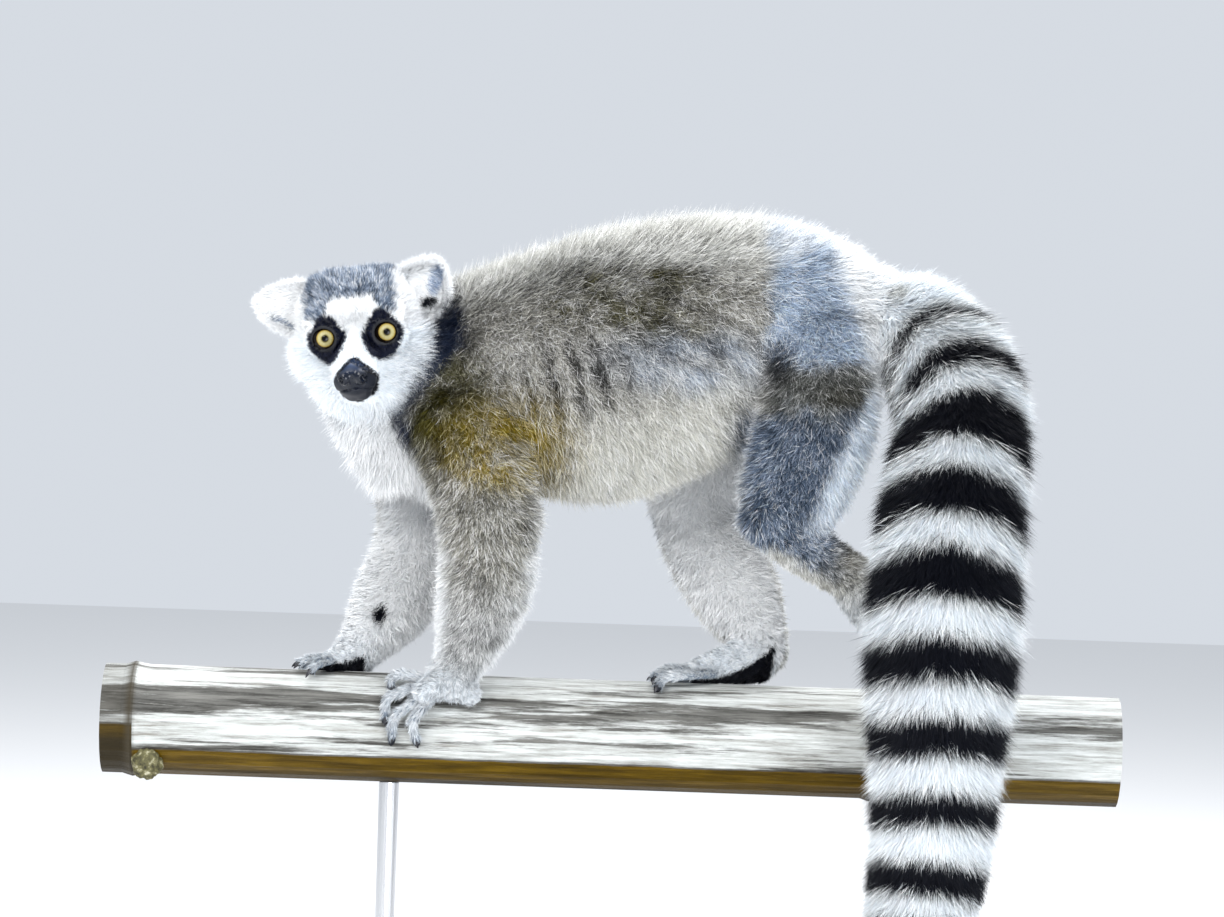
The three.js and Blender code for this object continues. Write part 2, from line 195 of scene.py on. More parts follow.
# ------------------------------------------------------------------ the animal's own measures
# Stations of the coat's outer form: [x, y, z, half depth, half width].
TRUNK = [[-130, 0, 482, 66, 46], [-74, 0, 499, 72, 55], [-32, 0, 506, 80, 58], [10, 0, 521, 76, 58],
         [51, 0, 535, 66, 55], [87, 0, 540, 54, 49], [113, 0, 540, 38, 38]]
NECK = [[-167, -24, 507, 36, 32], [-154, -9, 491, 47, 38], [-139, 0, 482, 60, 44]]
TAIL = [[104, 0, 537, 28, 28], [140, -12, 537, 35, 35], [165, -32, 521, 39, 40],
        [178, -50, 497, 40, 41], [180, -66, 469, 41, 42], [177, -80, 436, 43, 43],
        [174.5, -90, 400, 44, 44], [173, -94, 358, 44.5, 44.5], [172, -93, 297, 39, 39],
        [171, -91, 240, 35.5, 35.5], [166, -89, 190, 32, 32], [163, -88, 140, 28, 28],
        [164, -88, 92, 25, 25], [167, -88, 60, 19, 19]]
LEGS = {
    "upper_arm_left": [[-112, -34, 482, 40, 24], [-101, -43, 444, 32, 25], [-93, -46, 414, 29, 24]],
    "forearm_left": [[-93, -46, 416, 29, 24], [-94, -42, 385, 29, 24], [-98, -36, 362, 26, 22],
                     [-106, -30, 336, 18, 17], [-112, -27, 322, 14.5, 14]],
    "upper_arm_right": [[-130, 28, 474, 44, 25], [-134, 38, 436, 33, 24], [-134, 41, 402, 27, 23]],
    "forearm_right": [[-134, 41, 404, 27, 23], [-142, 36, 380, 27, 22], [-153, 27, 357, 25, 20],
                      [-166, 17, 337, 17, 17], [-174, 11, 327, 13, 12.5]],
    "thigh_left": [[97, -28, 532, 42, 27], [98, -40, 506, 37, 27], [97, -48, 480, 36, 26],
                   [89, -53, 451, 34, 23], [81, -56, 432, 31, 19]],
    "shank_left": [[71, -58, 428, 22, 18], [87, -54, 411, 18, 16], [106, -46, 397, 15.5, 15],
                   [128, -37, 385, 14.5, 14]],
    "thigh_right": [[80, 28, 524, 40, 26], [52, 42, 477, 37, 25], [24, 51, 430, 29, 22]],
    "shank_right": [[24, 52, 426, 24, 20], [38, 45, 399, 28, 22], [55, 35, 371, 27, 21],
                    [68, 24, 348, 19, 17], [75, 17, 336, 14, 14]],
}
PALMS = {
    "hand_left": [[-112, -28, 321, 13, 14], [-122, -33, 315, 9, 14], [-131, -36, 309, 7, 12]],
    "heel_of_hand_left": [[-112, -30, 315, 9, 11], [-101, -31, 309, 6, 9]],
    "hand_right": [[-172, 12, 328, 11, 12], [-182, 7, 324, 7.5, 12], [-191, 3, 322, 6, 11]],
    "foot_left": [[126, -37, 382, 15, 14], [136, -33, 369, 15, 13], [148, -28, 350, 11, 12],
                  [158, -23, 334, 8, 11]],
    "foot_right": [[74, 12, 330, 11, 9], [62, 12, 331, 14, 11], [48, 11, 328, 11, 11],
                   [32, 8, 324, 7.5, 12]],
}
CANE_LEVEL = 285
CANE_RADIUS = 33
# Joints of the digits on the cane: [along it, degrees round it from the top, height over it].
DIGITS = {
    "hand_left": [[[-118, 34, 9], [-122, 0, 7], [-126, -22, 3.2]],
                  [[-122, 44, 8], [-141, 34, 8], [-149, 37, 6], [-149, 46, 3.2]],
                  [[-129, 46, 8], [-144, 54, 8], [-151, 61, 6], [-152, 82, 3]],
                  [[-128, 54, 8], [-139, 67, 8.5], [-146, 76, 6.5], [-148, 102, 3]],
                  [[-124, 56, 8], [-133, 73, 8.5], [-135, 82, 6], [-132, 102, 3]]],
    "hand_right": [[[-182, -4, 7], [-193, 17, 7], [-199, 27, 3.4]],
                   [[-186, -8, 6.5], [-199, 4, 6], [-206, 8, 3.2]],
                   [[-189, -10, 6.5], [-200, -12, 5.5], [-208, -14, 3]],
                   [[-189, -18, 6.5], [-200, -26, 5.5], [-207, -34, 3]],
                   [[-186, -26, 6.5], [-196, -40, 5.5], [-201, -52, 3]]],
    "foot_left": [[[151, 20, 36], [160, -14, 20], [168, -34, 3.4]],
                  [[155, 20, 31], [172, 10, 20], [180, 10, 3.4]],
                  [[157, 24, 30], [174, 24, 18], [183, 26, 3.4]],
                  [[156, 29, 28], [173, 38, 17], [181, 42, 3.4]],
                  [[154, 33, 28], [168, 50, 16], [175, 56, 3.4]]],
    "foot_right": [[[50, -12, 7], [28, 16, 7], [14, 21, 6], [8, 36, 3.2]],
                   [[36, -10, 7], [20, 2, 7], [10, 9, 5], [7, 20, 3.2]],
                   [[33, -14, 7.5], [16, -8, 7], [8, 6, 3.2]],
                   [[33, -22, 7.5], [15, -24, 6.5], [6, -22, 3.2]],
                   [[35, -30, 7.5], [19, -38, 6], [10, -42, 3.2]]],
}
DEEPEST_COAT = 10
TAIL_CORE = 0.6  # the tail's skin, as a share of its bushy outline
FAR_OFF = 1e3  # stands for the distance to a part that is nowhere near

# The head's own frame: its origin is midway between the eyes, x across the face to the animal's left,
# y out of the face and z up the brow.
FACE_AT = np.array([-176, -62, 521.5])
HEAD_ROLL = radians(8.3)
HEAD_YAW = radians(3)
HEAD_AXES = np.array([
    [cos(HEAD_YAW) * cos(HEAD_ROLL), -sin(HEAD_YAW), cos(HEAD_YAW) * sin(HEAD_ROLL)],
    [-sin(HEAD_YAW) * cos(HEAD_ROLL), -cos(HEAD_YAW), -sin(HEAD_YAW) * sin(HEAD_ROLL)],
    [-sin(HEAD_ROLL), 0, cos(HEAD_ROLL)],
])
EYE_X = 18.4
EYE_BACK = 8.4
EYE_RADIUS = 9.2
LID_THICK = 1.0
EYE_OPENING = (6.5, 6.0)  # half width and half height between the lids


def from_head(points):
    """Points in the head's frame, placed in the model."""
    return np.asarray(points, float) @ HEAD_AXES + FACE_AT


def to_head(points):
    """Points of the model, in the head's frame."""
    return (points - FACE_AT) @ HEAD_AXES.T


# ------------------------------------------------------------------ the body as a field of distances
def tube_part(name, stations, coat, blend, cap=0.8, step=6):
    """A run of ellipses along a smooth line through the stations, shrunk by the coat's depth."""
    stations = np.array(stations, float)
    length = np.linalg.norm(np.diff(stations[:, :3], axis=0), axis=1).sum()
    rows = smooth_line(stations, max(3, int(length / step)))
    centre, outer = rows[:, :3], rows[:, 3:]
    along = unit(np.gradient(centre, axis=0))
    across = unit(np.array([0, 1, 0]) - along[:, 1:2] * along)
    depth = coat(outer.mean(1))
    arc = np.concatenate([[0], np.cumsum(np.linalg.norm(np.diff(centre, axis=0), axis=1))])
    return SimpleNamespace(name=name, centre=centre, along=along, across=across, up=np.cross(along, across),
                           size=outer - depth[:, None], depth=depth, arc=arc, blend=blend, cap=cap)


def body_coat(radius):
    """The coat's depth on trunk and limbs: a quarter of the outer radius, up to the deepest."""
    return np.minimum(DEEPEST_COAT, radius * 0.25)


def palm_coat(radius):
    """The coat's depth on hands and feet, as a small share of the outer radius."""
    return radius * 0.15


def tail_coat(radius):
    """The coat's depth on the tail: the outer radius less its core."""
    return radius * (1 - TAIL_CORE)


def measure(part, points):
    """For each point: its signed distance to the tube, and its place along the tube's rows, as the
    number of the row before it and the share of the way to the next."""
    best = np.full(len(points), FAR_OFF)
    place = np.zeros(len(points))
    for j in range(len(part.centre) - 1):
        a, span = part.centre[j], part.centre[j + 1] - part.centre[j]
        t = np.clip((points - a) @ span / (span @ span), 0, 1)
        v = points - a - t[:, None] * span
        deep, wide = (part.size[j] + t[:, None] * (part.size[j + 1] - part.size[j])).T
        x, y, z = v @ part.up[j], v @ part.across[j], v @ part.along[j]
        end = z / np.minimum(deep, wide) / part.cap
        reach = np.sqrt((x / deep) ** 2 + (y / wide) ** 2 + end**2) + 1e-6
        size = np.sqrt(x * x + y * y + z * z)
        distance = size - size / reach
        nearer = distance < best
        best[nearer] = distance[nearer]
        place[nearer] = (j + t)[nearer]
    return best, place


def around(part, points, place):
    """Angle round a part from its upper side, and the direction along it, at places on its line."""
    index = np.arange(len(part.arc))
    v = points - np.column_stack([np.interp(place, index, part.centre[:, k]) for k in range(3)])
    near = np.minimum(np.round(place).astype(int), len(index) - 1)
    x = np.einsum("ij,ij->i", v, part.up[near])
    y = np.einsum("ij,ij->i", v, part.across[near])
    return np.arctan2(y, x), part.along[near]


def ellipsoid(points, centre, radii):
    """Distance to an ellipsoid: the point's scaled length less one, over the scale's slope there."""
    q = points - centre
    length = np.sqrt(((q / radii) ** 2).sum(1)) + 1e-6
    slope = np.sqrt(((q / np.square(radii)) ** 2).sum(1)) + 1e-6
    return length * (length - 1) / slope


def melt(a, b, width):
    """The nearer of two surfaces, joined by a fillet of about that width."""
    overlap = np.clip(width - np.abs(a - b), 0, None) / width
    return np.minimum(a, b) - overlap**2 * width / 4


def carve(a, b, width):
    """The first form with the second cut out of it, and the edge rounded."""
    return -melt(-a, b, width)


def cone(points, start, end, radii):
    """Distance to a round rod that tapers from start to end."""
    start, span = np.array(start, float), np.array(end, float) - start
    t = np.clip((points - start) @ span / (span @ span), 0, 1)
    radius = radii[0] + t * (radii[1] - radii[0])
    return np.linalg.norm(points - start - t[:, None] * span, axis=1) - radius


def head_distance(points):
    """The bare head in its own frame: skull, cheeks, muzzle and jaw melted together, then the eyes'
    lids raised round each eye and the openings, nostrils and mouth cut in."""
    p = to_head(points)
    m = p * [-1, 1, 1]
    m[:, 0] = np.abs(p[:, 0])
    d = ellipsoid(p, (0, -35, 8), (28, 32, 26))
    d = melt(d, ellipsoid(m, (17, -36, 18), (14, 17, 15)), 12)
    d = melt(d, ellipsoid(m, (14, -31, -7), (19, 21, 18)), 12)
    d = melt(d, ellipsoid(m, (9, -24, -27), (14, 17, 14)), 10)
    d = melt(d, ellipsoid(m, (13, -9, 9), (15, 9, 8)), 10)
    d = melt(d, cone(p, (0, -14, -10), (0, 12, -17), (16.5, 11.4)), 7)
    d = melt(d, cone(p, (0, 8, -17), (0, 25, -23), (11, 9)), 6)
    d = melt(d, ellipsoid(p, (0, 22, -25.5), (12.4, 10, 9.6)), 5)
    d = melt(d, cone(m, (4, -16, -27), (2.5, 17, -32.5), (10, 5)), 5)
    lid = ellipsoid(m, (EYE_X, -EYE_BACK, 0), np.full(3, EYE_RADIUS + LID_THICK))
    d = melt(d, lid, 4)
    d = melt(d, ellipsoid(p, (0, 31.5, -21), (8.0, 5.8, 6.4)), 3)
    d = melt(d, ellipsoid(m, (4.6, 34.4, -23), (4.0, 4.2, 4.4)), 1.0)
    opening = np.hypot((m[:, 0] - EYE_X) / EYE_OPENING[0], p[:, 2] / EYE_OPENING[1]) - 1
    opening = np.maximum(opening * EYE_OPENING[1], -(p[:, 1] + EYE_BACK - 3.2))
    d = carve(d, opening, 0.9)
    leaning = m - [6.6, 37.2, -25.0]
    leaning[:, 0] += 0.35 * leaning[:, 2] - 0.07 * leaning[:, 2] ** 2
    d = carve(d, ellipsoid(leaning, 0, np.array([1.3, 3.2, 2.6])), 0.6)
    groove = ellipsoid(p, (0, 38.2, -26.5), (0.55, 2.6, 4.0))
    d = carve(d, groove, 0.8)
    line = -30.2 - 0.006 * p[:, 0] ** 2 - 0.10 * np.clip(24 - p[:, 1], 0, 60)
    crease = np.maximum(np.abs(p[:, 2] - line) - 0.4, np.abs(d + 0.3) - 1.2)
    crease = np.where((p[:, 1] > 2) & (p[:, 1] < 40), crease, 10)
    return carve(d, crease, 0.7)


HEAD_CENTRE = from_head([0, -20, 0])
HEAD_REACH = 85

PARTS = [tube_part("trunk", TRUNK, body_coat, 16), tube_part("neck", NECK, body_coat, 14, cap=0.5)]
PARTS += [tube_part(name, rows, body_coat, 9) for name, rows in LEGS.items()]
PARTS += [tube_part(name, rows, palm_coat, 7, cap=0.6, step=4) for name, rows in PALMS.items()]
PARTS += [tube_part("tail", TAIL, tail_coat, 14, cap=1)]
PART_NAMES = [part.name for part in PARTS] + ["head"]


def part_distances(points, reach=18):
    """Signed distance from each point to each part and last to the head, and the place along each
    part's rows. Points beyond the reach of a part count as far off."""
    table = np.full((len(points), len(PARTS) + 1), FAR_OFF)
    places = np.zeros((len(points), len(PARTS)))
    for k, part in enumerate(PARTS):
        widest = part.size.max(1, keepdims=True) + reach
        low, high = (part.centre - widest).min(0), (part.centre + widest).max(0)
        near = np.nonzero(((points > low) & (points < high)).all(1))[0]
        if len(near):
            table[near, k], places[near, k] = measure(part, points[near])
    near = np.nonzero(np.linalg.norm(points - HEAD_CENTRE, axis=1) < HEAD_REACH)[0]
    if len(near):
        table[near, -1] = head_distance(points[near])
    return table, places


def body_distance(points):
    """The whole bare body: every part melted into the ones before it."""
    table, _ = part_distances(points)
    d = table[:, 0]
    for k, part in enumerate(PARTS[1:], 1):
        d = melt(d, table[:, k], part.blend)
    return melt(d, table[:, -1], 10)


def gradient(points, step=0.25):
    """Which way the distance grows, from a small step each way along each axis."""
    shifts = np.eye(3) * step
    return unit(np.column_stack([body_distance(points + s) - body_distance(points - s) for s in shifts]))


def settle(points, rounds):
    """Moves points straight on to the body's surface."""
    for _ in range(rounds):
        points = points - gradient(points) * np.clip(body_distance(points), -2, 2)[:, None]
    return points


# ------------------------------------------------------------------ a mesh over the field
def surface_net(low, high, step):
    """A closed mesh where the field is zero: one point in each cell of a grid that the surface
    crosses, at the mean of its crossings, and a face across each crossed edge of the grid."""
    axes = [np.arange(a, b, step) for a, b in zip(low, high)]
    shape = tuple(len(a) for a in axes)
    field = np.empty(shape)
    for i, x in enumerate(axes[0]):
        y, z = np.meshgrid(axes[1], axes[2], indexing="ij")
        slab = np.column_stack([np.full(y.size, x), y.ravel(), z.ravel()])
        field[i] = body_distance(slab).reshape(shape[1:])
    strides = np.array([shape[1] * shape[2], shape[2], 1])
    count = np.zeros(field.size)
    total = np.zeros((field.size, 3))
    quads = []
    for axis in range(3):
        ahead = np.roll(field, -1, axis)
        crossed = (field < 0) != (ahead < 0)
        crossed[tuple(slice(-1, None) if k == axis else slice(None) for k in range(3))] = False
        cell = np.argwhere(crossed)
        value, following = field[crossed], ahead[crossed]
        place = cell.astype(float)
        place[:, axis] += value / (value - following)
        b, c = [k for k in range(3) if k != axis]
        flat = cell @ strides
        ring = np.column_stack([flat, flat - strides[b], flat - strides[b] - strides[c], flat - strides[c]])
        for k in range(4):
            count += np.bincount(ring[:, k], minlength=field.size)
            for m in range(3):
                total[:, m] += np.bincount(ring[:, k], place[:, m], minlength=field.size)
        turn = (value < 0) == (axis != 1)
        quads.append(np.where(turn[:, None], ring, ring[:, ::-1]))
    used = np.nonzero(count)[0]
    number = np.zeros(field.size, int)
    number[used] = np.arange(len(used))
    quads = number[np.vstack(quads)]
    points = total[used] / count[used, None] * step + [a[0] for a in axes]
    return points, np.vstack([quads[:, [0, 1, 2]], quads[:, [0, 2, 3]]])


def refine(points, faces, wanted):
    """Halves every edge whose two ends are wanted, and splits the faces beside them to match."""
    edges = np.sort(np.stack([faces, np.roll(faces, -1, 1)], 2), 2).reshape(-1, 2)
    keys, back = np.unique(edges @ [len(points), 1], return_inverse=True)
    ends = np.column_stack([keys // len(points), keys % len(points)])
    split = wanted[ends].all(1)
    middle = np.full(len(ends), -1)
    middle[split] = len(points) + np.arange(split.sum())
    points = np.vstack([points, points[ends[split]].mean(1)])
    mid = middle[back].reshape(-1, 3)
    cut = mid >= 0
    out = [faces[~cut.any(1)]]
    whole = cut.all(1)
    (a, b, c), (p, q, r) = faces[whole].T, mid[whole].T
    out += [np.column_stack(t) for t in ((a, p, r), (p, b, q), (r, q, c), (p, q, r))]
    for turn in range(3):
        f, m, k = (np.roll(x, -turn, 1) for x in (faces, mid, cut))
        one = k[:, 0] & ~k[:, 1] & ~k[:, 2]
        (a, b, c), p = f[one].T, m[one, 0]
        out += [np.column_stack(t) for t in ((a, p, c), (p, b, c))]
        two = k[:, 0] & k[:, 1] & ~k[:, 2]
        (a, b, c), (p, q, _) = f[two].T, m[two].T
        out += [np.column_stack(t) for t in ((p, b, q), (a, p, q), (a, q, c))]
    return points, np.vstack(out)


def face_normals(points, faces):
    """The cross product of two edges of each triangle: twice its area long, and pointing outwards."""
    a, b, c = (points[faces[:, k]] for k in range(3))
    return np.cross(b - a, c - a)


def point_normals(points, faces):
    """The area-weighted mean of the faces round each point."""
    around_point = face_normals(points, faces)
    total = np.zeros_like(points)
    for k in range(3):
        for m in range(3):
            total[:, m] += np.bincount(faces[:, k], around_point[:, m], minlength=len(points))
    return unit(total)


def body_mesh():
    """The skin over trunk, neck, head, limbs and tail, finest on the face."""
    points, faces = surface_net((-252, -150, 36), (222, 88, 612), 3.2)
    if np.einsum("ij,ij->i", face_normals(points, faces), points[faces[:, 0]]).sum() < 0:
        faces = faces[:, ::-1]
    points = settle(points, 2)
    head = to_head(points)
    wanted = (np.abs(head[:, 1] + 18) < 62) & (np.abs(head[:, 2]) < 52) & (np.abs(head[:, 0]) < 52)
    points, faces = refine(points, faces, wanted)
    head = to_head(points)
    wanted = (head[:, 1] > -26) & (np.abs(head[:, 2]) < 45) & (np.abs(head[:, 0]) < 40)
    points, faces = refine(points, faces, wanted)
    near = np.linalg.norm(points - HEAD_CENTRE, axis=1) < 70
    points[near] = settle(points[near], 3)
    head = to_head(points)
    m = np.abs(head[:, 0])
    eyes = np.hypot(m - EYE_X, head[:, 2]) < 11.5
    snout = (head[:, 1] > 17) & (m < 15)
    wanted = (eyes & (head[:, 1] > -12)) | snout
    points, faces = refine(points, faces, wanted)
    head = to_head(points)
    near = (head[:, 1] > -16) & (np.abs(head[:, 0]) < 34)
    points[near] = settle(points[near], 3)
    return points, faces


# ------------------------------------------------------------------ ears, digits, claws and eyes
def grid_faces(rows, columns):
    """Triangles over a closed-round grid of points, row after row."""
    i, j = (k.ravel() for k in np.meshgrid(np.arange(rows - 1), np.arange(columns), indexing="ij"))
    a = i * columns + j
    b = i * columns + (j + 1) % columns
    return np.vstack([np.column_stack([a, b, b + columns]), np.column_stack([a, b + columns, a + columns])])


def tube(line, radii, reference, rounds=14):
    """A round tube of changing radius along a line: each ring starts from the reference direction."""
    along = unit(np.gradient(line, axis=0))
    up = unit(reference - np.einsum("ij,ij->i", reference, along)[:, None] * along)
    side = np.cross(along, up)
    turn = np.linspace(0, 2 * pi, rounds, endpoint=False)[:, None]
    ring = up[:, None] * np.cos(turn) + side[:, None] * np.sin(turn)
    points = line[:, None] + ring * np.asarray(radii)[:, None, None]
    return points.reshape(-1, 3), grid_faces(len(line), rounds)


def join(parts):
    """Several meshes' points and faces as one."""
    starts = np.cumsum([0] + [len(points) for points, _ in parts[:-1]])
    return np.vstack([p for p, _ in parts]), np.vstack([f + s for (_, f), s in zip(parts, starts)])


def on_cane(joints):
    """Points over the cane from [along it, degrees round it, height over it]."""
    along, turn, height = np.array(joints, float).T
    reach = CANE_RADIUS + height
    turn = np.radians(turn)
    return np.column_stack([along, -reach * np.sin(turn), CANE_LEVEL + reach * np.cos(turn)])


def off_cane(points):
    """The direction straight away from the cane's middle line."""
    return unit((points - [0, 0, CANE_LEVEL]) * [0, 1, 1])


DIGIT_ROWS = 30
DIGIT_ROUNDS = 14
CLAW_LENGTH = 5.4
GROOMING_CLAW_LENGTH = 8.5


def digit(joints):
    """A finger or toe: a tube a little thicker at each knuckle and at the pad of the rounded tip."""
    line = smooth_line(on_cane(joints), DIGIT_ROWS)
    t = np.linspace(0, 1, DIGIT_ROWS)
    knuckles = 0.28 * np.exp(-(((t * 2 - np.round(t * 2)) / 0.14) ** 2))
    pad = 0.5 * np.exp(-(((t - 0.9) / 0.07) ** 2))
    rounding = np.clip(1 - ((t - 0.9) / 0.1).clip(0) ** 2, 0.003, 1)
    radii = (3.0 - 1.1 * t + knuckles + pad) * np.sqrt(rounding)
    return tube(line, radii, off_cane(line), DIGIT_ROUNDS)


def claw(joints, length):
    """A small curved nail that tapers from the top of a fingertip to a point."""
    line = smooth_line(on_cane(joints), DIGIT_ROWS)
    ahead = unit(line[-1] - line[-5])
    out = off_cane(line[-1:])[0]
    t = np.linspace(0, 1, 9)[:, None]
    curve = line[-4] + out * 1.3 + ahead * t * length + out * (0.8 * t - 2.4 * t**2)
    radii = 1.3 * np.sqrt(1.001 - t[:, 0] ** 1.5)
    return tube(curve, radii, np.tile(out, (len(t), 1)), 8)


# The rim of each ear in the head's frame, [across, up], the deepest place of its hollow, how deep that
# is, and the way that the hair in it lies.
EARS = {
    1: SimpleNamespace(
        rim=[[51.5, 24], [50.5, 30], [48, 35], [42, 36], [33, 34], [24, 29],
             [22, 21], [26, 12], [33, 6.5], [41, 7.5], [48, 10.5], [51, 17]],
        hollow=[42.5, 14], deep=3, lie=[0.6, 0.2, -0.55]),
    -1: SimpleNamespace(
        rim=[[-22, 24], [-24, 29], [-33, 31], [-43, 30.5], [-51, 28.5], [-56, 24.5],
             [-54.5, 19], [-49.5, 13], [-43, 9], [-36, 6.5], [-28, 8], [-23, 16]],
        hollow=[-41, 11], deep=1, lie=[-0.8, 0.15, -0.3]),
}
EAR_ROWS = 41
EAR_ROUNDS = 48


def ear(side):
    """One ear as a thin bowl, from the deepest place of its hollow over the rim to the middle of its
    back. Gives its points and faces, and for each point the way its hair lies, its row from -1 in the
    hollow to 1 at the back, and its turn round the rim."""
    shape = EARS[side]
    rim = smooth_line(np.array(shape.rim * 3, float), EAR_ROUNDS * 3)[EAR_ROUNDS:2 * EAR_ROUNDS]
    rim = np.column_stack([rim[:, 0], -34 - 0.22 * (np.abs(rim[:, 0]) - 35), rim[:, 1]])
    middle = rim.mean(0)
    t = np.linspace(-1, 1, EAR_ROWS)[:, None, None]
    reach = np.cos(t * pi / 2).clip(0.01)
    deep = np.where(t < 0, np.array([shape.hollow[0], middle[1], shape.hollow[1]]), middle)
    points = deep + (rim - deep) * reach
    points[..., 1] -= (np.sqrt(1 - reach**2) * np.where(t < 0, shape.deep, 8.5))[..., 0]
    outward = unit(rim - middle)
    front = ramp(-t, 0.12, 0.4)
    ways = outward * (1 - front) + unit(np.array(shape.lie)) * front + [0, -0.25, 0] * ramp(t, 0, 0.4)
    turns = np.linspace(0, 2 * pi, EAR_ROUNDS, endpoint=False)
    row, turn = (k.ravel() for k in np.meshgrid(t.ravel(), turns, indexing="ij"))
    return SimpleNamespace(points=from_head(points.reshape(-1, 3)), row=row, turn=turn,
                           faces=grid_faces(EAR_ROWS, EAR_ROUNDS)[:, ::-1],
                           ways=unit(ways.reshape(-1, 3) @ HEAD_AXES))


PUPIL = 1.7
IRIS = 5.1
EYE_PATTERN = 8.0  # millimetres from the pupil's middle to where the eye's pattern ends
EYE_ROUNDS = 56


def eyeball(side):
    """A ball with a slightly raised cornea, in rings about the line of sight. Also gives each point's
    place in the iris, in millimetres across and up."""
    centre = from_head([side * EYE_X, -EYE_BACK, 0])
    gaze = unit(VIEW_AIM - np.array([0, cos(VIEW_LIFT), -sin(VIEW_LIFT)]) * VIEW_DISTANCE - centre)
    level = unit(np.cross(gaze, [0, 0, 1]))
    up = np.cross(level, gaze)
    rows = np.concatenate([np.linspace(0.002, 0.75, 40), np.linspace(0.8, pi - 0.01, 20)])
    turn = np.linspace(0, 2 * pi, EYE_ROUNDS, endpoint=False)
    angle, turn = (k.ravel() for k in np.meshgrid(rows, turn, indexing="ij"))
    radius = EYE_RADIUS + 0.75 * (1 - (angle / 0.66) ** 2).clip(0) ** 1.5
    across = np.sin(angle) * np.cos(turn)
    rise = np.sin(angle) * np.sin(turn)
    points = centre + radius[:, None] * (
        np.cos(angle)[:, None] * gaze + across[:, None] * level + rise[:, None] * up)
    iris = np.column_stack([across, rise, np.cos(angle)]) * EYE_RADIUS
    return points, grid_faces(len(rows), EYE_ROUNDS)[:, ::-1], iris


# ------------------------------------------------------------------ markings of skin and coat
def srgb(*colour):
    """A colour given as the eye grades it (0 to 255), as shares of light."""
    c = np.array(colour) / 255
    return np.where(c < 0.04045, c / 12.92, ((c + 0.055) / 1.055) ** 2.4)


WHITE = srgb(240, 242, 244)
CREAM = srgb(212, 211, 203)
PAINTED_TOP_LIGHT = srgb(226, 226, 222)
SILVER = srgb(178, 188, 202)
GREY = srgb(170, 168, 158)
FLANK = srgb(188, 186, 178)
SADDLE = srgb(100, 98, 82)
FRINGE = srgb(224, 234, 247)
FACE = srgb(231, 238, 245)
HAND = srgb(221, 227, 233)
TAIL_WHITE = srgb(228, 235, 242)
ARM = srgb(184, 185, 184)
THIGH = srgb(122, 124, 120)
OLIVE = srgb(74, 70, 4)
OCHRE = srgb(150, 128, 0)
SLATE = srgb(104, 120, 142)
CROWN = srgb(150, 164, 184)
BLUE = srgb(182, 199, 222)
DARK = srgb(18, 32, 58)
SHADE = srgb(58, 54, 38)
BLACK = srgb(3, 6, 17)
FINGER = srgb(116, 127, 140)
CONCHA = srgb(150, 164, 186)
BRIDGE = srgb(22, 46, 80)
PATCH = srgb(5, 14, 38)
LID = srgb(20, 22, 28)
LEATHER = srgb(12, 18, 30)


def plain(colour, count):
    """One colour, repeated for each point."""
    return np.tile(colour, (count, 1))


def mix(a, b, share):
    """The first colours, moved toward the second by each point's share."""
    return a + (b - a) * np.asarray(share)[:, None]


def blob(p, x, z, wide, tall, soft=0.35):
    """Seen from the side: 1 inside an oval, falling smoothly to 0 outside it."""
    reach = np.hypot((p[:, 0] - x) / wide, (p[:, 2] - z) / tall)
    return 1 - ramp(reach, 1 - soft, 1 + soft)


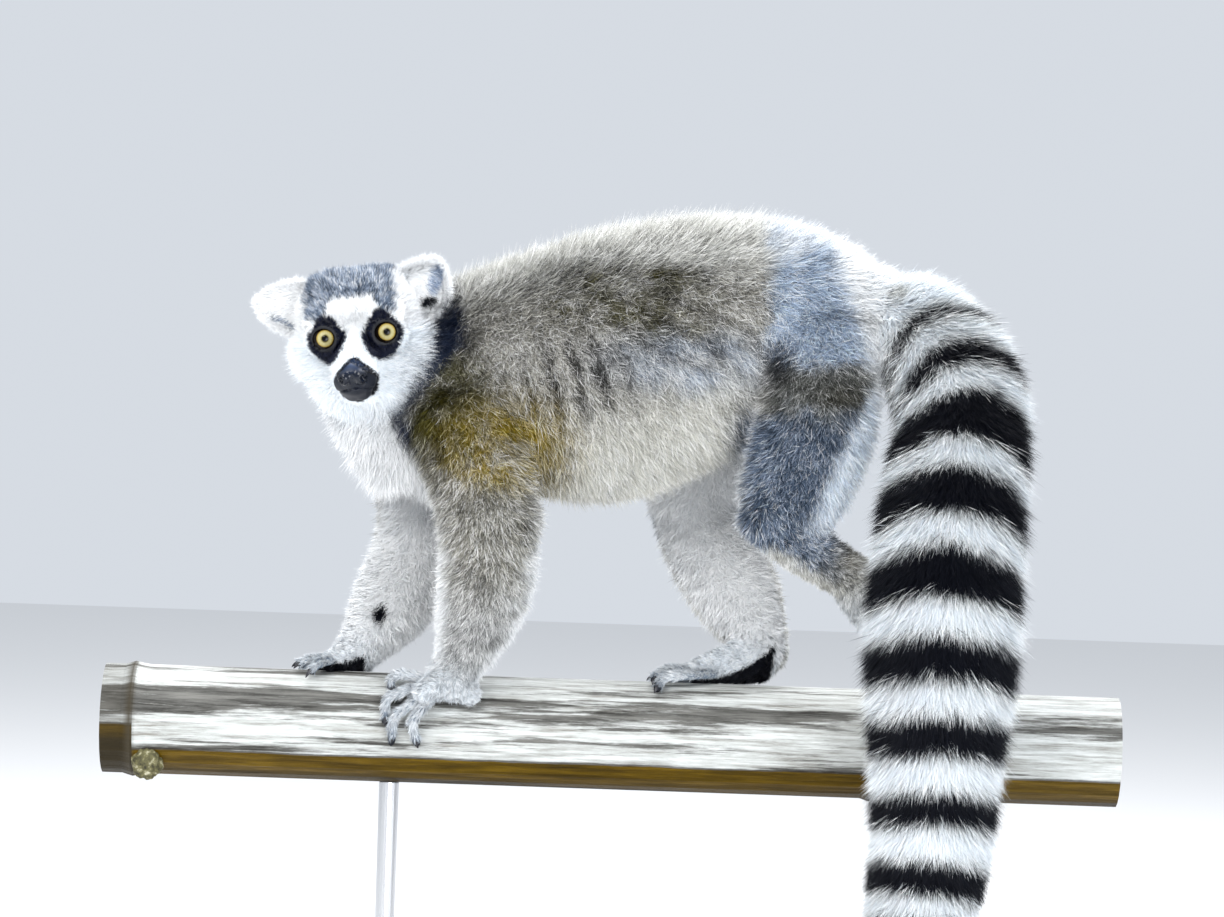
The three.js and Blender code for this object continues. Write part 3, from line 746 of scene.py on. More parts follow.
def flank_colour(p):
    """The outer side of trunk, shoulders and haunches, the same on both sides of the body."""
    x, z = p[:, 0], p[:, 2]
    rough = cloud(p, 9, 11)
    fine = cloud(p, 4, 12)
    c = plain(FLANK, len(p))
    # Painted light: the top of the back made paler, where light from above and behind catches it.
    c = mix(c, PAINTED_TOP_LIGHT, ramp(z - 0.16 * x + 5 * rough, 546, 573))
    c = mix(c, SADDLE, blob(p, -10, 556, 52, 13, 0.7) * (0.6 + 0.5 * rough + 0.3 * fine).clip(0, 0.85))
    c = mix(c, SILVER, blob(p, 24, 512, 54, 19, 0.5) * (0.7 + 0.5 * rough).clip(0, 1))
    c = mix(c, OLIVE, blob(p, -128, 480, 34, 40, 0.6) * (0.9 + 0.5 * rough).clip(0, 1))
    near = p[:, 1] < 0
    for spot in ((-56, 543, 11, 8), (-37, 559, 15, 7), (4, 562, 18, 7), (-10, 538, 46, 12)):
        c = mix(c, OLIVE, blob(p, *spot, 0.9) * near * (0.45 + 1.2 * fine).clip(0, 0.95))
    # Painted shade: dark wavy bands where the flank's fur parts into locks, and darker folds higher on the
    # flank.
    parting_shade = np.sin((x + 0.33 * (z - 490)) * 0.42 + 1.1 * rough + 0.4 * fine)
    c = c * (1 - 0.92 * blob(p, -46, 490, 36, 38, 0.5) * ramp(parting_shade, 0.1, 0.7))[:, None]
    ruffle_shade = np.sin((0.5 * x + z) * 0.33 + 2.4 * cloud(p, 22, 15) + 0.5 * fine)
    c = c * (1 - 0.6 * blob(p, 16, 532, 56, 26, 0.5) * ramp(ruffle_shade, 0.2, 0.8))[:, None]
    edge = 445 + (x + 65) * 0.29
    low = 1 - ramp(z + 5 * rough, edge + 2, edge + 40)
    c = mix(c, CREAM, low * (1 - ramp(x, 40, 70)) * ramp(x, -110, -80))
    c = mix(c, OCHRE, blob(p, -84, 457, 36, 29, 0.6) * (0.95 + 0.7 * rough + 0.5 * fine).clip(0, 1))
    hip = ramp(x + 4 * rough + 2 * fine, 63, 72) * ramp(z + 4 * rough, 504, 520)
    c = mix(c, BLUE, hip)
    thigh = ramp(x + 4 * rough + 2 * fine, 64, 74) * (1 - ramp(z + 4 * rough, 504, 520))
    c = mix(c, THIGH, thigh)
    c = mix(c, SLATE, (1 - ramp(z + 8 * rough, 474, 494)) * ramp(x, 40, 60))
    # Painted shade: a dark spot in the crease where the thigh meets the trunk.
    c = mix(c, BLACK, blob(p, 73, 512, 8, 13, 0.8) * 0.85)
    c = mix(c, SHADE, blob(p, 114, 494, 16, 8, 0.8) * (0.6 + 0.5 * fine).clip(0, 0.9))
    # Painted light: the top of the rump made paler, as on the back.
    c = mix(c, WHITE, ramp(z - 0.4 * (x - 60), 562, 574) * ramp(x, 60, 75) * 0.7)
    behind = x - 101 - (z - 438) * 0.43
    c = mix(c, FRINGE, ramp(behind + 2 * rough + 2 * fine, -4, 5) * (1 - ramp(z, 500, 520)))
    return mix(c, WHITE, ramp(x + 0.35 * (z - 545) + 4 * rough, 108, 124))


def limb_colour(name, p, arc, angle):
    """Grey on a limb's outer face and white on its inner one."""
    side = -1 if name.endswith("left") else 1
    out = side * np.sin(angle)
    rough = cloud(p, 7, 13)
    if name.startswith("upper_arm"):
        c = mix(flank_colour(p), GREY, 1 - ramp(p[:, 2], 422, 442))
        return mix(c, WHITE, ramp(-out, -0.15, 0.35))
    if name.startswith("forearm"):
        c = mix(plain(GREY, len(p)), ARM, ramp(arc, 10, 60))
        edge = ramp(-out + 0.25 * rough + arc * 0.003, -0.62, -0.1)
        return mix(c, WHITE, edge)
    if name.startswith("thigh"):
        return mix(flank_colour(p), WHITE, ramp(-out, -0.15, 0.25))
    c = mix(plain(SLATE, len(p)), GREY, ramp(arc + 6 * rough, 30, 60))
    under = ramp(0.2 * rough - np.cos(angle), 0.3, 0.75)
    c = mix(c, CREAM, under * 0.9 * ramp(arc, 8, 16))
    c = mix(c, CREAM, ramp(arc, 52, 72) * 0.75)
    return mix(c, WHITE, ramp(-out, -0.15, 0.25))


def neck_colour(p, head_gap):
    """White below, and a dark collar where the neck meets the back of the head."""
    h = to_head(p)
    c = plain(WHITE, len(p))
    wide = np.maximum(h[:, 0], -h[:, 0] - 16)
    behind = np.maximum(wide - 24, h[:, 2] + 4) + 0.35 * (h[:, 2] + 20).clip(-30, 30)
    c = mix(c, GREY, ramp(behind, -4, 6))
    gap = head_gap - 0.28 * (10 - h[:, 2]).clip(0)
    return mix(c, DARK, (1 - ramp(gap, 17, 25)) * ramp(behind, -12, -4))


TAIL_RINGS = np.array([
    (68, 75), (91, 103), (121, 146), (163, 186), (205, 228), (248, 270), (289, 312), (335, 353),
    (376, 394), (411, 428), (445, 461), (478, 493), (509, 523), (537, 640)])


def collar(p, c):
    """The dark edge that hangs beside the white throat, and the flank's own colours outside it."""
    h = to_head(p)
    inner = np.interp(h[:, 2], [-68, -50, -40, -29, -17, 7], [19, 12, 18, 33, 41, 46])
    outer = np.interp(h[:, 2], [-68, -50, -38, -25, -13, 6], [23, 21, 34, 46, 55, 59])
    low = ramp(h[:, 2], -76, -66)
    rough = 1.5 * cloud(p, 4, 16)
    beyond = ramp(h[:, 0] - outer + rough, -1, 4) * (1 - ramp(h[:, 2], -24, -10)) * (h[:, 0] < outer + 30)
    c = mix(c, flank_colour(p), beyond * low)
    inside = ramp(h[:, 0] - inner + rough, -2, 1.5) * (1 - ramp(h[:, 0] - outer + rough, -1, 5))
    return mix(c, DARK, inside * low * (1 - ramp(h[:, 2], 2, 10)))


def tail_colour(p, arc, angle):
    """Black rings on white, which hang a little lower at the sides than in front and behind."""
    place = arc - 4.5 * (1 + np.cos(2 * angle)) + 1.6 * cloud(p, 3, 3) + 1.8 * cloud(p, 11, 4)
    middle, half = TAIL_RINGS.mean(1), np.ptp(TAIL_RINGS, axis=1) / 2
    inside = (half - np.abs(place[:, None] - middle)).max(1)
    stain = 0.8 * (1 - ramp(place, 30, 90)) * ramp(cloud(p, 12, 6), 0, 0.6)
    c = mix(plain(TAIL_WHITE, len(p)), CREAM, stain)
    c = mix(c, CREAM, ramp(inside, -9, -2) * 0.4)
    return mix(c, BLACK, ramp(inside, -0.8, 0.4))


def head_colour(h):
    """Black eye patches and muzzle and a slate crown on a white face."""
    wide = np.abs(h[:, 0])
    rough = cloud(h, 5, 9)
    fine = cloud(h, 2, 10)
    c = mix(plain(FACE, len(h)), WHITE, ramp(h[:, 2], -4, 8))
    low_edge = 23 - 10.5 * ramp(wide, 11, 20) + 0.6 * rough
    crown = np.minimum(h[:, 2] - low_edge, 28.5 - 0.05 * h[:, 2] - np.abs(h[:, 0] + 2.3))
    crown = crown + 1.3 * rough + 1.5 * fine
    back = -38 - h[:, 1] + 0.15 * h[:, 2]
    grey = mix(plain(CROWN, len(h)), SLATE, 1 - ramp(crown, 3, 9))
    grey = mix(grey, DARK, ramp(-h[:, 1], 30, 40) * (1 - ramp(h[:, 2], 8, 22)) * ramp(wide, 8, 24))
    c = mix(c, grey, ramp(np.maximum(crown, back), -2, 2))
    aside = wide - 16.4
    turn = np.arctan2(h[:, 2], aside)
    patch = np.hypot(aside / 11.6, h[:, 2] / 14.6)
    patch = patch / (1 + 0.07 * np.cos(4 * turn) - 0.05 * np.cos(turn - 2.4))
    patch = np.where(h[:, 1] > -30, patch, 3)
    c = mix(c, PATCH, 1 - ramp(patch + 0.03 * rough + 0.03 * fine, 0.9, 1.06))
    across = np.abs(h[:, 0] - 0.06 * (h[:, 1] - 10).clip(0))
    half = np.interp(-h[:, 2], [9, 11.5, 14, 17, 20, 23, 27, 31, 35, 37.5, 39],
                     [-4, 1, 4.2, 7.6, 10.6, 12.6, 13.4, 12, 9, 5, 0])
    muzzle = np.minimum(half - across, h[:, 1] - 4)
    c = mix(c, BLACK, ramp(muzzle + 0.5 * fine, -1, 0.6))
    return mix(c, BRIDGE, ramp(muzzle, 0.5, 2.5) * ramp(h[:, 2], -22, -16) * 0.8)


def ear_colour(side, h, front):
    """White ears: one with a slate hollow and a dark opening of painted shade, the other filled with hair
    but for a painted shade line along its cup.
    """
    x, z = h[:, 0], h[:, 2]
    c = plain(WHITE, len(h))
    if side > 0:
        across, up = x - 48.4 - 0.3 * (z - 27), z - 27
        grey = np.hypot(across / 3.9, up / 9.5) + 0.15 * cloud(h, 2, 14)
        c = mix(c, CONCHA, (1 - ramp(grey, 0.8, 1.15)) * front)
        # Painted shade: the ear's opening, a black oval in the hollow.
        hole = np.hypot((x - 42.3 - 0.3 * (z - 14)) / 5.6, (z - 13.9) / 3.6)
        return mix(c, BLACK, (1 - ramp(hole, 0.8, 1.15)) * front)
    # Painted shade: a slate line where the left ear's cup folds under its hair.
    low = np.interp(x, [-52, -45, -38.5], [14.5, 12.8, 6.6])
    line = np.abs(z - low) + 4 * (np.maximum(-52 - x, x + 38.5)).clip(0)
    return mix(c, SLATE, (1 - ramp(line, 0.5, 1.6)) * front)


def markings(p, lie):
    """The colour of skin and coat at each point, blended over the parts that meet there."""
    c = np.zeros((len(p), 3))
    for k, name in enumerate(PART_NAMES):
        some = np.nonzero(lie.weights[:, k] > 0.01)[0]
        if not len(some):
            continue
        q = p[some]
        if name == "head":
            own = head_colour(to_head(q))
        elif name == "neck":
            own = neck_colour(q, lie.head_gap[some])
        elif name == "tail":
            own = tail_colour(q, lie.arcs[some, k] + lie.reach[some], lie.angles[some, k])
        elif name == "trunk":
            own = flank_colour(q)
            h = to_head(q)
            gap = lie.head_gap[some] - 0.28 * (10 - h[:, 2]).clip(0)
            own = mix(own, DARK, (1 - ramp(gap, 17, 25)) * ramp(h[:, 0], 8, 16))
            chest = ramp(-q[:, 0] - 0.55 * (q[:, 2] - 470) - 0.5 * np.abs(q[:, 1]), 104, 120)
            own = mix(own, WHITE, chest)
        elif name in LEGS:
            own = limb_colour(name, q, lie.arcs[some, k], lie.angles[some, k])
        else:
            own = plain(HAND, len(some))
        c[some] += own * lie.weights[some, k, None]
    near_neck = 1 - lie.weights[:, -1] - lie.weights[:, PART_NAMES.index("forearm_left")]
    c = mix(c, collar(p, c), near_neck.clip(0) * (lie.head_gap < 60))
    sole = np.minimum(p[:, 0] - 26, 77 + 0.15 * (p[:, 2] - 320) - p[:, 0])
    sole = np.minimum(sole, 320.5 + 0.0105 * (p[:, 0] - 34).clip(0) ** 2 - p[:, 2])
    sole = np.minimum(sole, 30 + p[:, 1])
    c = mix(c, BLACK, ramp(sole, -0.8, 0.8))
    palm = np.minimum(-167 - p[:, 0], 323.5 + 0.3 * (p[:, 0] + 180).clip(0) - p[:, 2])
    c = mix(c, BLACK, ramp(palm, -0.8, 0.8))
    gland = np.hypot(p[:, 0] + 159.3, (p[:, 2] - 352) * 0.75) + 4 * (p[:, 1] > 26)
    return mix(c, BLACK, 1 - ramp(gland, 3.6, 4.6))


# ------------------------------------------------------------------ the lie of the coat
BODY_LIFT = radians(38)
TAIL_LIFT = radians(35)
HEAD_LIFT = radians(34)
PALM_LIFT = radians(24)
EAR_LIFT = radians(30)
DIGIT_LIFT = radians(20)


def lie_of_coat(p):
    """For points on the skin: the share of each part there, the place on each part, and the coat's
    direction, lift and length, blended over the parts that meet."""
    distance, places = part_distances(p)
    weights = np.exp(-(distance - distance.min(1, keepdims=True)) / 5)
    weights /= weights.sum(1, keepdims=True)
    lie = SimpleNamespace(weights=weights, nearest=distance.argmin(1), arcs=np.zeros_like(distance),
                          angles=np.zeros_like(distance), head_gap=distance[:, -1])
    lie.flow, lie.along = np.zeros_like(p), np.zeros_like(p)
    lie.lift, lie.length = np.zeros(len(p)), np.zeros(len(p))
    for k, part in enumerate(PARTS):
        some = np.nonzero(weights[:, k] > 0.01)[0]
        if not len(some):
            continue
        share = weights[some, k]
        index = np.arange(len(part.arc))
        lie.arcs[some, k] = np.interp(places[some, k], index, part.arc)
        lie.angles[some, k], along = around(part, p[some], places[some, k])
        lift = BODY_LIFT
        lie.along[some] += along * share[:, None]
        if part.name == "trunk":
            along = along * 0.6 + [0, 0, -0.75]
        if part.name == "tail":
            lift = TAIL_LIFT
            along = along + [0, 0, -0.2]
        if part.name in PALMS:
            lift = PALM_LIFT
        depth = np.interp(places[some, k], index, part.depth)
        lie.flow[some] += along * share[:, None]
        lie.lift[some] += lift * share
        lie.length[some] += depth * 1.12 / sin(lift) * share
    h = to_head(p)
    share = weights[:, -1]
    away = h - [0, 34, -20]
    away[:, 1] = np.minimum(away[:, 1], -6)
    away = unit(away)
    eye_x = np.where(h[:, 0] > 0, EYE_X, -EYE_X)
    from_eye = np.column_stack([h[:, 0] - eye_x, np.zeros(len(p)), h[:, 2]])
    by_eye = 1 - ramp(np.linalg.norm(from_eye, axis=1), 9, 17)
    away = away * (1 - by_eye)[:, None] + unit(from_eye) * by_eye[:, None]
    lie.flow += unit(away) @ HEAD_AXES * share[:, None]
    length = np.interp(-h[:, 1], [-30, -12, 0, 12, 22, 40], [1.6, 2.6, 4.6, 8.0, 14.0, 14.0])
    crown = ramp(h[:, 2], 16, 26)
    by_ear = ramp(np.abs(h[:, 0]), 24, 30) * ramp(h[:, 2], -2, 6)
    length = length * (1 - 0.5 * by_eye) * (1 - 0.5 * crown) * (1 - 0.45 * by_ear)
    lie.length += length * share
    side_face = ramp(np.abs(h[:, 0]), 20, 32) * (1 - ramp(h[:, 2], 5, 20))
    lie.lift += (HEAD_LIFT + radians(12) * side_face + radians(20) * crown) * share
    lie.flow = unit(lie.flow)
    lie.reach = lie.length * np.cos(lie.lift) * 0.8
    return lie


# ------------------------------------------------------------------ tufts of the coat
def scatter(points, faces, extras, count, density):
    """Seeded random places on a mesh, as many on each face as its area times its density, with the
    columns of extras blended from the corners of the face."""
    area = np.linalg.norm(face_normals(points, faces), axis=1) * density[faces].mean(1)
    chosen = np.searchsorted(np.cumsum(area) / area.sum(), random.random(count))
    a, b = random.random((2, count))
    over = a + b > 1
    a[over], b[over] = 1 - a[over], 1 - b[over]
    share = np.column_stack([1 - a - b, a, b])
    corners = faces[chosen]
    return tuple(np.einsum("ij,ijk->ik", share, values[corners]) for values in (points, extras))


def gathered(roots, size, seed):
    """The middle of the clump that each root belongs to, among irregular clumps of about that size."""
    cell = np.floor(roots / size)
    best = np.full(len(roots), np.inf)
    middle = roots.copy()
    for offset in np.ndindex(3, 3, 3):
        c = cell + offset - 1
        centre = (c + np.column_stack([hashed(c, seed + k) for k in range(3)])) * size
        distance = ((centre - roots) ** 2).sum(1)
        nearer = distance < best
        best[nearer] = distance[nearer]
        middle[nearer] = centre[nearer]
    return middle


def along_skin(flow, normals):
    """A direction laid flat on the skin: what it has along the normal is taken off."""
    return unit(flow - np.einsum("ij,ij->i", flow, normals)[:, None] * normals)


TUFT_FACES = np.array([[0, 1, 2], [0, 1, 3], [0, 1, 4]])
TUFT_PATCH = np.array([[-1, -1], [1, -1], [-0.8, 1], [0, 1], [0.8, 1]]) * 0.0015
STRAY_SHARE = 0.11  # of the tufts, those that are longer and stand out


def tufts(roots, normals, flow, lift, length, width, ragged, clump, clump_size, calm=0.0):
    """Tufts of three flat locks that start side by side and fan out: each lies along the flow, raised
    by the lift, turned at random by raggedness and drawn toward the middle of its clump. The strays
    are longer and stand out, less so for the calm share. Gives five points a tuft: two at the root and
    three tips."""
    count = len(roots)
    flow = along_skin(flow, normals)
    side = np.cross(normals, flow)
    pull = gathered(roots, clump_size, 5) - roots
    pull -= np.einsum("ij,ij->i", pull, normals)[:, None] * normals
    shared_turn = random.normal(0, 1, count) * ragged
    wild = (random.random(count) < STRAY_SHARE) * (1 - calm)
    points = np.empty((count, 5, 3))
    for tip in range(3):
        turn = (shared_turn + (tip - 1) * 0.14 + random.normal(0, 0.5, count) * ragged)[:, None]
        rise = (lift * (1 + random.uniform(-0.35, 0.25, count) * (1 - 0.6 * calm)) + 0.18 * wild)[:, None]
        reach = (length * random.uniform(0.7, 1.12, count) * (1 + 0.16 * wild) * (1 - 0.2 * calm))[:, None]
        way = (flow * np.cos(turn) + side * np.sin(turn)) * np.cos(rise) + normals * np.sin(rise)
        points[:, 2 + tip] = roots + way * reach + pull * clump
    tilt = random.normal(0, 0.5, count)[:, None]
    turn = (shared_turn + random.normal(0, 0.3, count))[:, None]
    across = side * np.cos(turn) - flow * np.sin(turn)
    across = (across * np.cos(tilt) + normals * np.sin(tilt)) * np.reshape(width, (-1, 1)) / 2
    base = roots - normals * 0.4
    points[:, 0], points[:, 1] = base - across, base + across
    return points


def tuft_colours(colours, roots, flow, root_shade, speckle):
    """Five colours a tuft: darkened at the root by painted shade, for the shadow deep among the tufts, and
    lighter or darker at random at each tip and in streaks along the lie of the coat."""
    count = len(colours)
    shade = np.empty((count, 5, 1))
    rough = np.reshape(speckle, (-1, 1))
    combed = roots - 0.72 * flow * np.einsum("ij,ij->i", roots, flow)[:, None]
    streaks = 0.8 * cloud(combed, 2.0, 21) + 0.6 * cloud(combed, 5, 22) + 0.3 * cloud(roots, 14, 23)
    patchy = np.exp(rough[:, 0] * streaks)
    shade[:, :2, 0] = (root_shade * patchy)[:, None]
    tips = random.normal(0, 0.85, (count, 1)) + random.normal(0, 0.65, (count, 3))
    shade[:, 2:, 0] = np.exp(rough * tips - 0.3 * rough**2) * (1.08 * patchy)[:, None]
    lit = colours[:, None] * shade
    grey = lit.mean(2, keepdims=True)
    return np.clip(grey + (lit - grey) * np.clip(1.45 - 0.4 * shade, 0.45, 1.2), 0.0008, 0.93)


def add_coat(name, chart, points, colours):
    """One piece of coat: its tufts, each with a small patch at its root's place on the chart."""
    count = len(chart)
    faces = (np.arange(count)[:, None, None] * 5 + TUFT_FACES).reshape(-1, 3)
    chart = (chart - chart.min(0)) / np.ptp(chart, axis=0) * 0.99 + 0.005
    uv = (chart[:, None] + TUFT_PATCH).reshape(-1, 2)
    piece = add_piece(name, points.reshape(-1, 3), faces, colours=colours.reshape(-1, 3), uv=uv)
    piece.data.materials.append(coat_material)
    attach(piece, "root")


# ------------------------------------------------------------------ materials
class Nodes:
    """A small helper to make a material's nodes and join them."""

    def __init__(self, name, **settings):
        self.material = bpy.data.materials.new(name)
        self.material.use_nodes = True
        self.tree = self.material.node_tree
        self.shader = self.tree.nodes["Principled BSDF"]
        for socket, value in settings.items():
            self.shader.inputs[socket.replace("_", " ")].default_value = value

    def add(self, kind, operation=None, inputs=(), **settings):
        node = self.tree.nodes.new("ShaderNode" + kind)
        if operation:
            node.operation = operation
        for key, value in settings.items():
            setattr(node, key, value)
        for k, value in enumerate(inputs):
            if hasattr(value, "is_output"):
                self.tree.links.new(value, node.inputs[k])
            elif value is not None:
                node.inputs[k].default_value = value
        return node.outputs[0]

    def link(self, output, socket):
        self.tree.links.new(output, self.shader.inputs[socket])

    def attribute(self, name, output="Color"):
        node = self.tree.nodes.new("ShaderNodeAttribute")
        node.attribute_name = name
        return node.outputs[output]

    def place(self):
        return self.tree.nodes.new("ShaderNodeTexCoord").outputs["Object"]

    def noise(self, vector, scale, detail=3, rough=0.55):
        node = self.tree.nodes.new("ShaderNodeTexNoise")
        self.tree.links.new(vector, node.inputs["Vector"])
        node.inputs["Scale"].default_value = scale
        node.inputs["Detail"].default_value = detail
        node.inputs["Roughness"].default_value = rough
        return node.outputs[0]

    def stretch(self, vector, scale):
        node = self.tree.nodes.new("ShaderNodeMapping")
        self.tree.links.new(vector, node.inputs["Vector"])
        node.inputs["Scale"].default_value = scale
        return node.outputs[0]

    def ramp(self, factor, *stops):
        node = self.tree.nodes.new("ShaderNodeValToRGB")
        self.tree.links.new(factor, node.inputs[0])
        while len(node.color_ramp.elements) < len(stops):
            node.color_ramp.elements.new(0.5)
        for element, (position, colour) in zip(node.color_ramp.elements, stops):
            element.position = position
            element.color = (*colour, 1)
        return node.outputs[0]

    def blend(self, factor, a, b, kind="MIX"):
        node = self.tree.nodes.new("ShaderNodeMix")
        node.data_type = "RGBA"
        node.blend_type = kind
        for socket, value in ((node.inputs[0], factor), (node.inputs[6], a), (node.inputs[7], b)):
            if hasattr(value, "is_output"):
                self.tree.links.new(value, socket)
            elif isinstance(value, float):
                socket.default_value = value
            else:
                socket.default_value = (*value, 1)
        return node.outputs[2]

    def bump(self, height, distance, strength=1.0):
        node = self.tree.nodes.new("ShaderNodeBump")
        self.tree.links.new(height, node.inputs["Height"])
        node.inputs["Distance"].default_value = distance
        node.inputs["Strength"].default_value = strength
        self.tree.links.new(node.outputs[0], self.shader.inputs["Normal"])


def level(value):
    """A grey of that value."""
    return (value, value, value)


# Hair: the tufts carry their own colour, and shine a little.
coat = Nodes("coat", Roughness=0.6, Specular_IOR_Level=0.22)
coat.link(coat.attribute("coat_colour"), "Base Color")
coat_material = coat.material

# Skin: the coat's markings, darkened as painted shade for the gaps between tufts, and moist where it is
# bare.
hide = Nodes("skin", Specular_IOR_Level=0.34)
hide.link(hide.attribute("coat_colour"), "Base Color")
hide.link(hide.ramp(hide.attribute("bare", "Fac"), (0, level(0.7)), (1, level(0.12))), "Roughness")
hide.bump(hide.noise(hide.place(), 1400, 2), 0.00012, 0.3)
skin_material = hide.material

nail = Nodes("claw", Roughness=0.3)
horn = nail.ramp(nail.noise(nail.place(), 500), (0.3, srgb(14, 15, 20)), (0.7, srgb(44, 44, 50)))
nail.link(horn, "Base Color")
claw_material = nail.material

# Eye: rings about the line of sight, from a black pupil through straw yellow to a dark rim.
wet = Nodes("eye", Roughness=0.04, Coat_Weight=0.1, Coat_Roughness=0.02, Specular_IOR_Level=0.12)
position = wet.attribute("iris", "Vector")
flat_place = wet.add("VectorMath", "MULTIPLY", (position, (1, 1, 0)))
from_middle = wet.tree.nodes.new("ShaderNodeVectorMath")
from_middle.operation = "LENGTH"
wet.tree.links.new(flat_place, from_middle.inputs[0])
distance_out = wet.add("Math", "DIVIDE", (from_middle.outputs["Value"], EYE_PATTERN))
streaks = wet.noise(wet.add("VectorMath", "NORMALIZE", (flat_place,)), 7, 4, 0.7)
rings = wet.ramp(distance_out, (0, level(0.002)), (PUPIL / EYE_PATTERN - 0.012, level(0.002)),
                 (PUPIL / EYE_PATTERN + 0.02, srgb(88, 80, 36)), (0.34, srgb(164, 158, 118)),
                 (0.48, srgb(168, 160, 114)), (0.58, srgb(150, 130, 62)),
                 (IRIS / EYE_PATTERN - 0.012, srgb(70, 52, 16)),
                 (IRIS / EYE_PATTERN + 0.02, srgb(14, 10, 8)))
streaked = wet.blend(wet.ramp(streaks, (0.35, level(0.0)), (0.65, level(0.4))), rings,
                     wet.blend(1.0, rings, srgb(212, 202, 170), "MULTIPLY"))
wet.link(streaked, "Base Color")
eye_material = wet.material

# Bamboo, patterned by the place along it and the turn round it: silver above and amber below.
CANE_NODES = (-0.3045, 0.1385)  # metres along it
cane = Nodes("cane", Specular_IOR_Level=0.12)
apart = cane.tree.nodes.new("ShaderNodeSeparateXYZ")
cane.tree.links.new(cane.place(), apart.inputs[0])
along, across, height = apart.outputs
aside = cane.add("Math", "ABSOLUTE", (across,))
over = cane.add("Math", "SUBTRACT", (height, CANE_LEVEL / 1000))
turn = cane.add("Math", "DIVIDE", (cane.add("Math", "ARCTAN2", (aside, over)), pi))
unrolled = cane.add("CombineXYZ", inputs=(along, turn, across))
wander = cane.noise(cane.stretch(unrolled, (9, 3, 0)), 1, 8, 0.7)
warped = cane.add("Math", "MULTIPLY_ADD", (wander, 0.05, turn))
streak = cane.noise(cane.stretch(unrolled, (16, 26, 0)), 1, 9, 0.74)
bands = cane.noise(cane.stretch(unrolled, (5, 9, 0)), 1, 9, 0.72)
silver = cane.ramp(streak, (0.36, srgb(130, 128, 122)), (0.5, srgb(180, 183, 181)),
                   (0.64, srgb(214, 217, 216)))
burnt = cane.ramp(streak, (0.38, srgb(26, 25, 23)), (0.6, srgb(92, 90, 85)))
singed = cane.ramp(warped, (0.26, level(0.0)), (0.32, level(0.09)), (0.38, level(0.09)), (0.44, level(0.0)))
pale_end = cane.ramp(along, (0.1, level(0.0)), (0.19, level(0.07)))
bands_low = cane.add("Math", "SUBTRACT", (cane.add("Math", "ADD", (bands, singed)), pale_end))
silver = cane.blend(cane.ramp(bands_low, (0.5, level(0.0)), (0.57, level(0.9))), silver, burnt)
amber = cane.ramp(streak, (0.3, srgb(34, 26, 3)), (0.5, srgb(76, 58, 3)), (0.72, srgb(112, 88, 14)))
olive = cane.ramp(bands, (0.4, srgb(32, 26, 10)), (0.6, srgb(70, 55, 18)))
under = cane.blend(cane.ramp(warped, (0.80, level(0.0)), (0.88, level(1.0))), amber, olive)
is_left = cane.add("Math", "LESS_THAN", (along, -0.3025))
low_edge = cane.add("Math", "MULTIPLY_ADD", (is_left, 0.15, warped))
body = cane.blend(cane.ramp(low_edge, (0.672, level(0.0)), (0.68, level(1.0))), silver, under)
border = cane.ramp(low_edge, (0.662, level(0.0)), (0.672, level(0.9)), (0.684, level(0.0)))
body = cane.blend(border, body, srgb(34, 28, 18))
# Painted shade: the lower side of the cane's left piece darkened to brown.
left_painted_shade = cane.ramp(warped, (0.5, level(0.45)), (0.58, level(0.6)), (0.62, level(0.96)))
body = cane.blend(cane.add("Math", "MULTIPLY", (is_left, left_painted_shade)), body, srgb(36, 30, 16))
for at in CANE_NODES:
    gap = cane.add("Math", "ABSOLUTE", (cane.add("Math", "SUBTRACT", (along, at)),))
    body = cane.blend(cane.ramp(gap, (0.0006, level(0.85)), (0.0016, level(0.0))), body, srgb(58, 52, 40))
cane.link(body, "Base Color")
cane.link(cane.ramp(streak, (0.3, level(0.7)), (0.7, level(0.42))), "Roughness")
cane.bump(streak, 0.0012, 0.7)
cane_material = cane.material

knot = Nodes("cane_knot", Roughness=0.8)
sheath = knot.ramp(knot.noise(knot.place(), 260, 5, 0.7), (0.35, srgb(38, 36, 18)),
                   (0.55, srgb(96, 92, 58)), (0.72, srgb(190, 186, 160)))
knot.link(sheath, "Base Color")
knot_material = knot.material

# The stand: oiled dark wood and brushed steel.
wood = Nodes("stand_wood", Roughness=0.38)
grain = wood.noise(wood.stretch(wood.place(), (3, 60, 60)), 1, 5, 0.6)
wood.link(wood.ramp(grain, (0.35, srgb(40, 25, 16)), (0.65, srgb(86, 56, 36))), "Base Color")
wood_material = wood.material

steel = Nodes("stand_steel", Metallic=1.0, Base_Color=(0.56, 0.57, 0.59, 1))
brushed = steel.noise(steel.stretch(steel.place(), (600, 600, 12)), 1, 3)
steel.link(steel.ramp(brushed, (0.3, level(0.22)), (0.7, level(0.4))), "Roughness")
steel_material = steel.material


# ------------------------------------------------------------------ the studio
add_camera()
add_lights()
floor_corners = np.array([[-1, -1, 0], [1, -1, 0], [1, 1, 0], [-1, 1, 0]]) * FLOOR_REACH
floor = add_piece("floor", floor_corners, np.array([[0, 1, 2, 3]]), smooth=False)


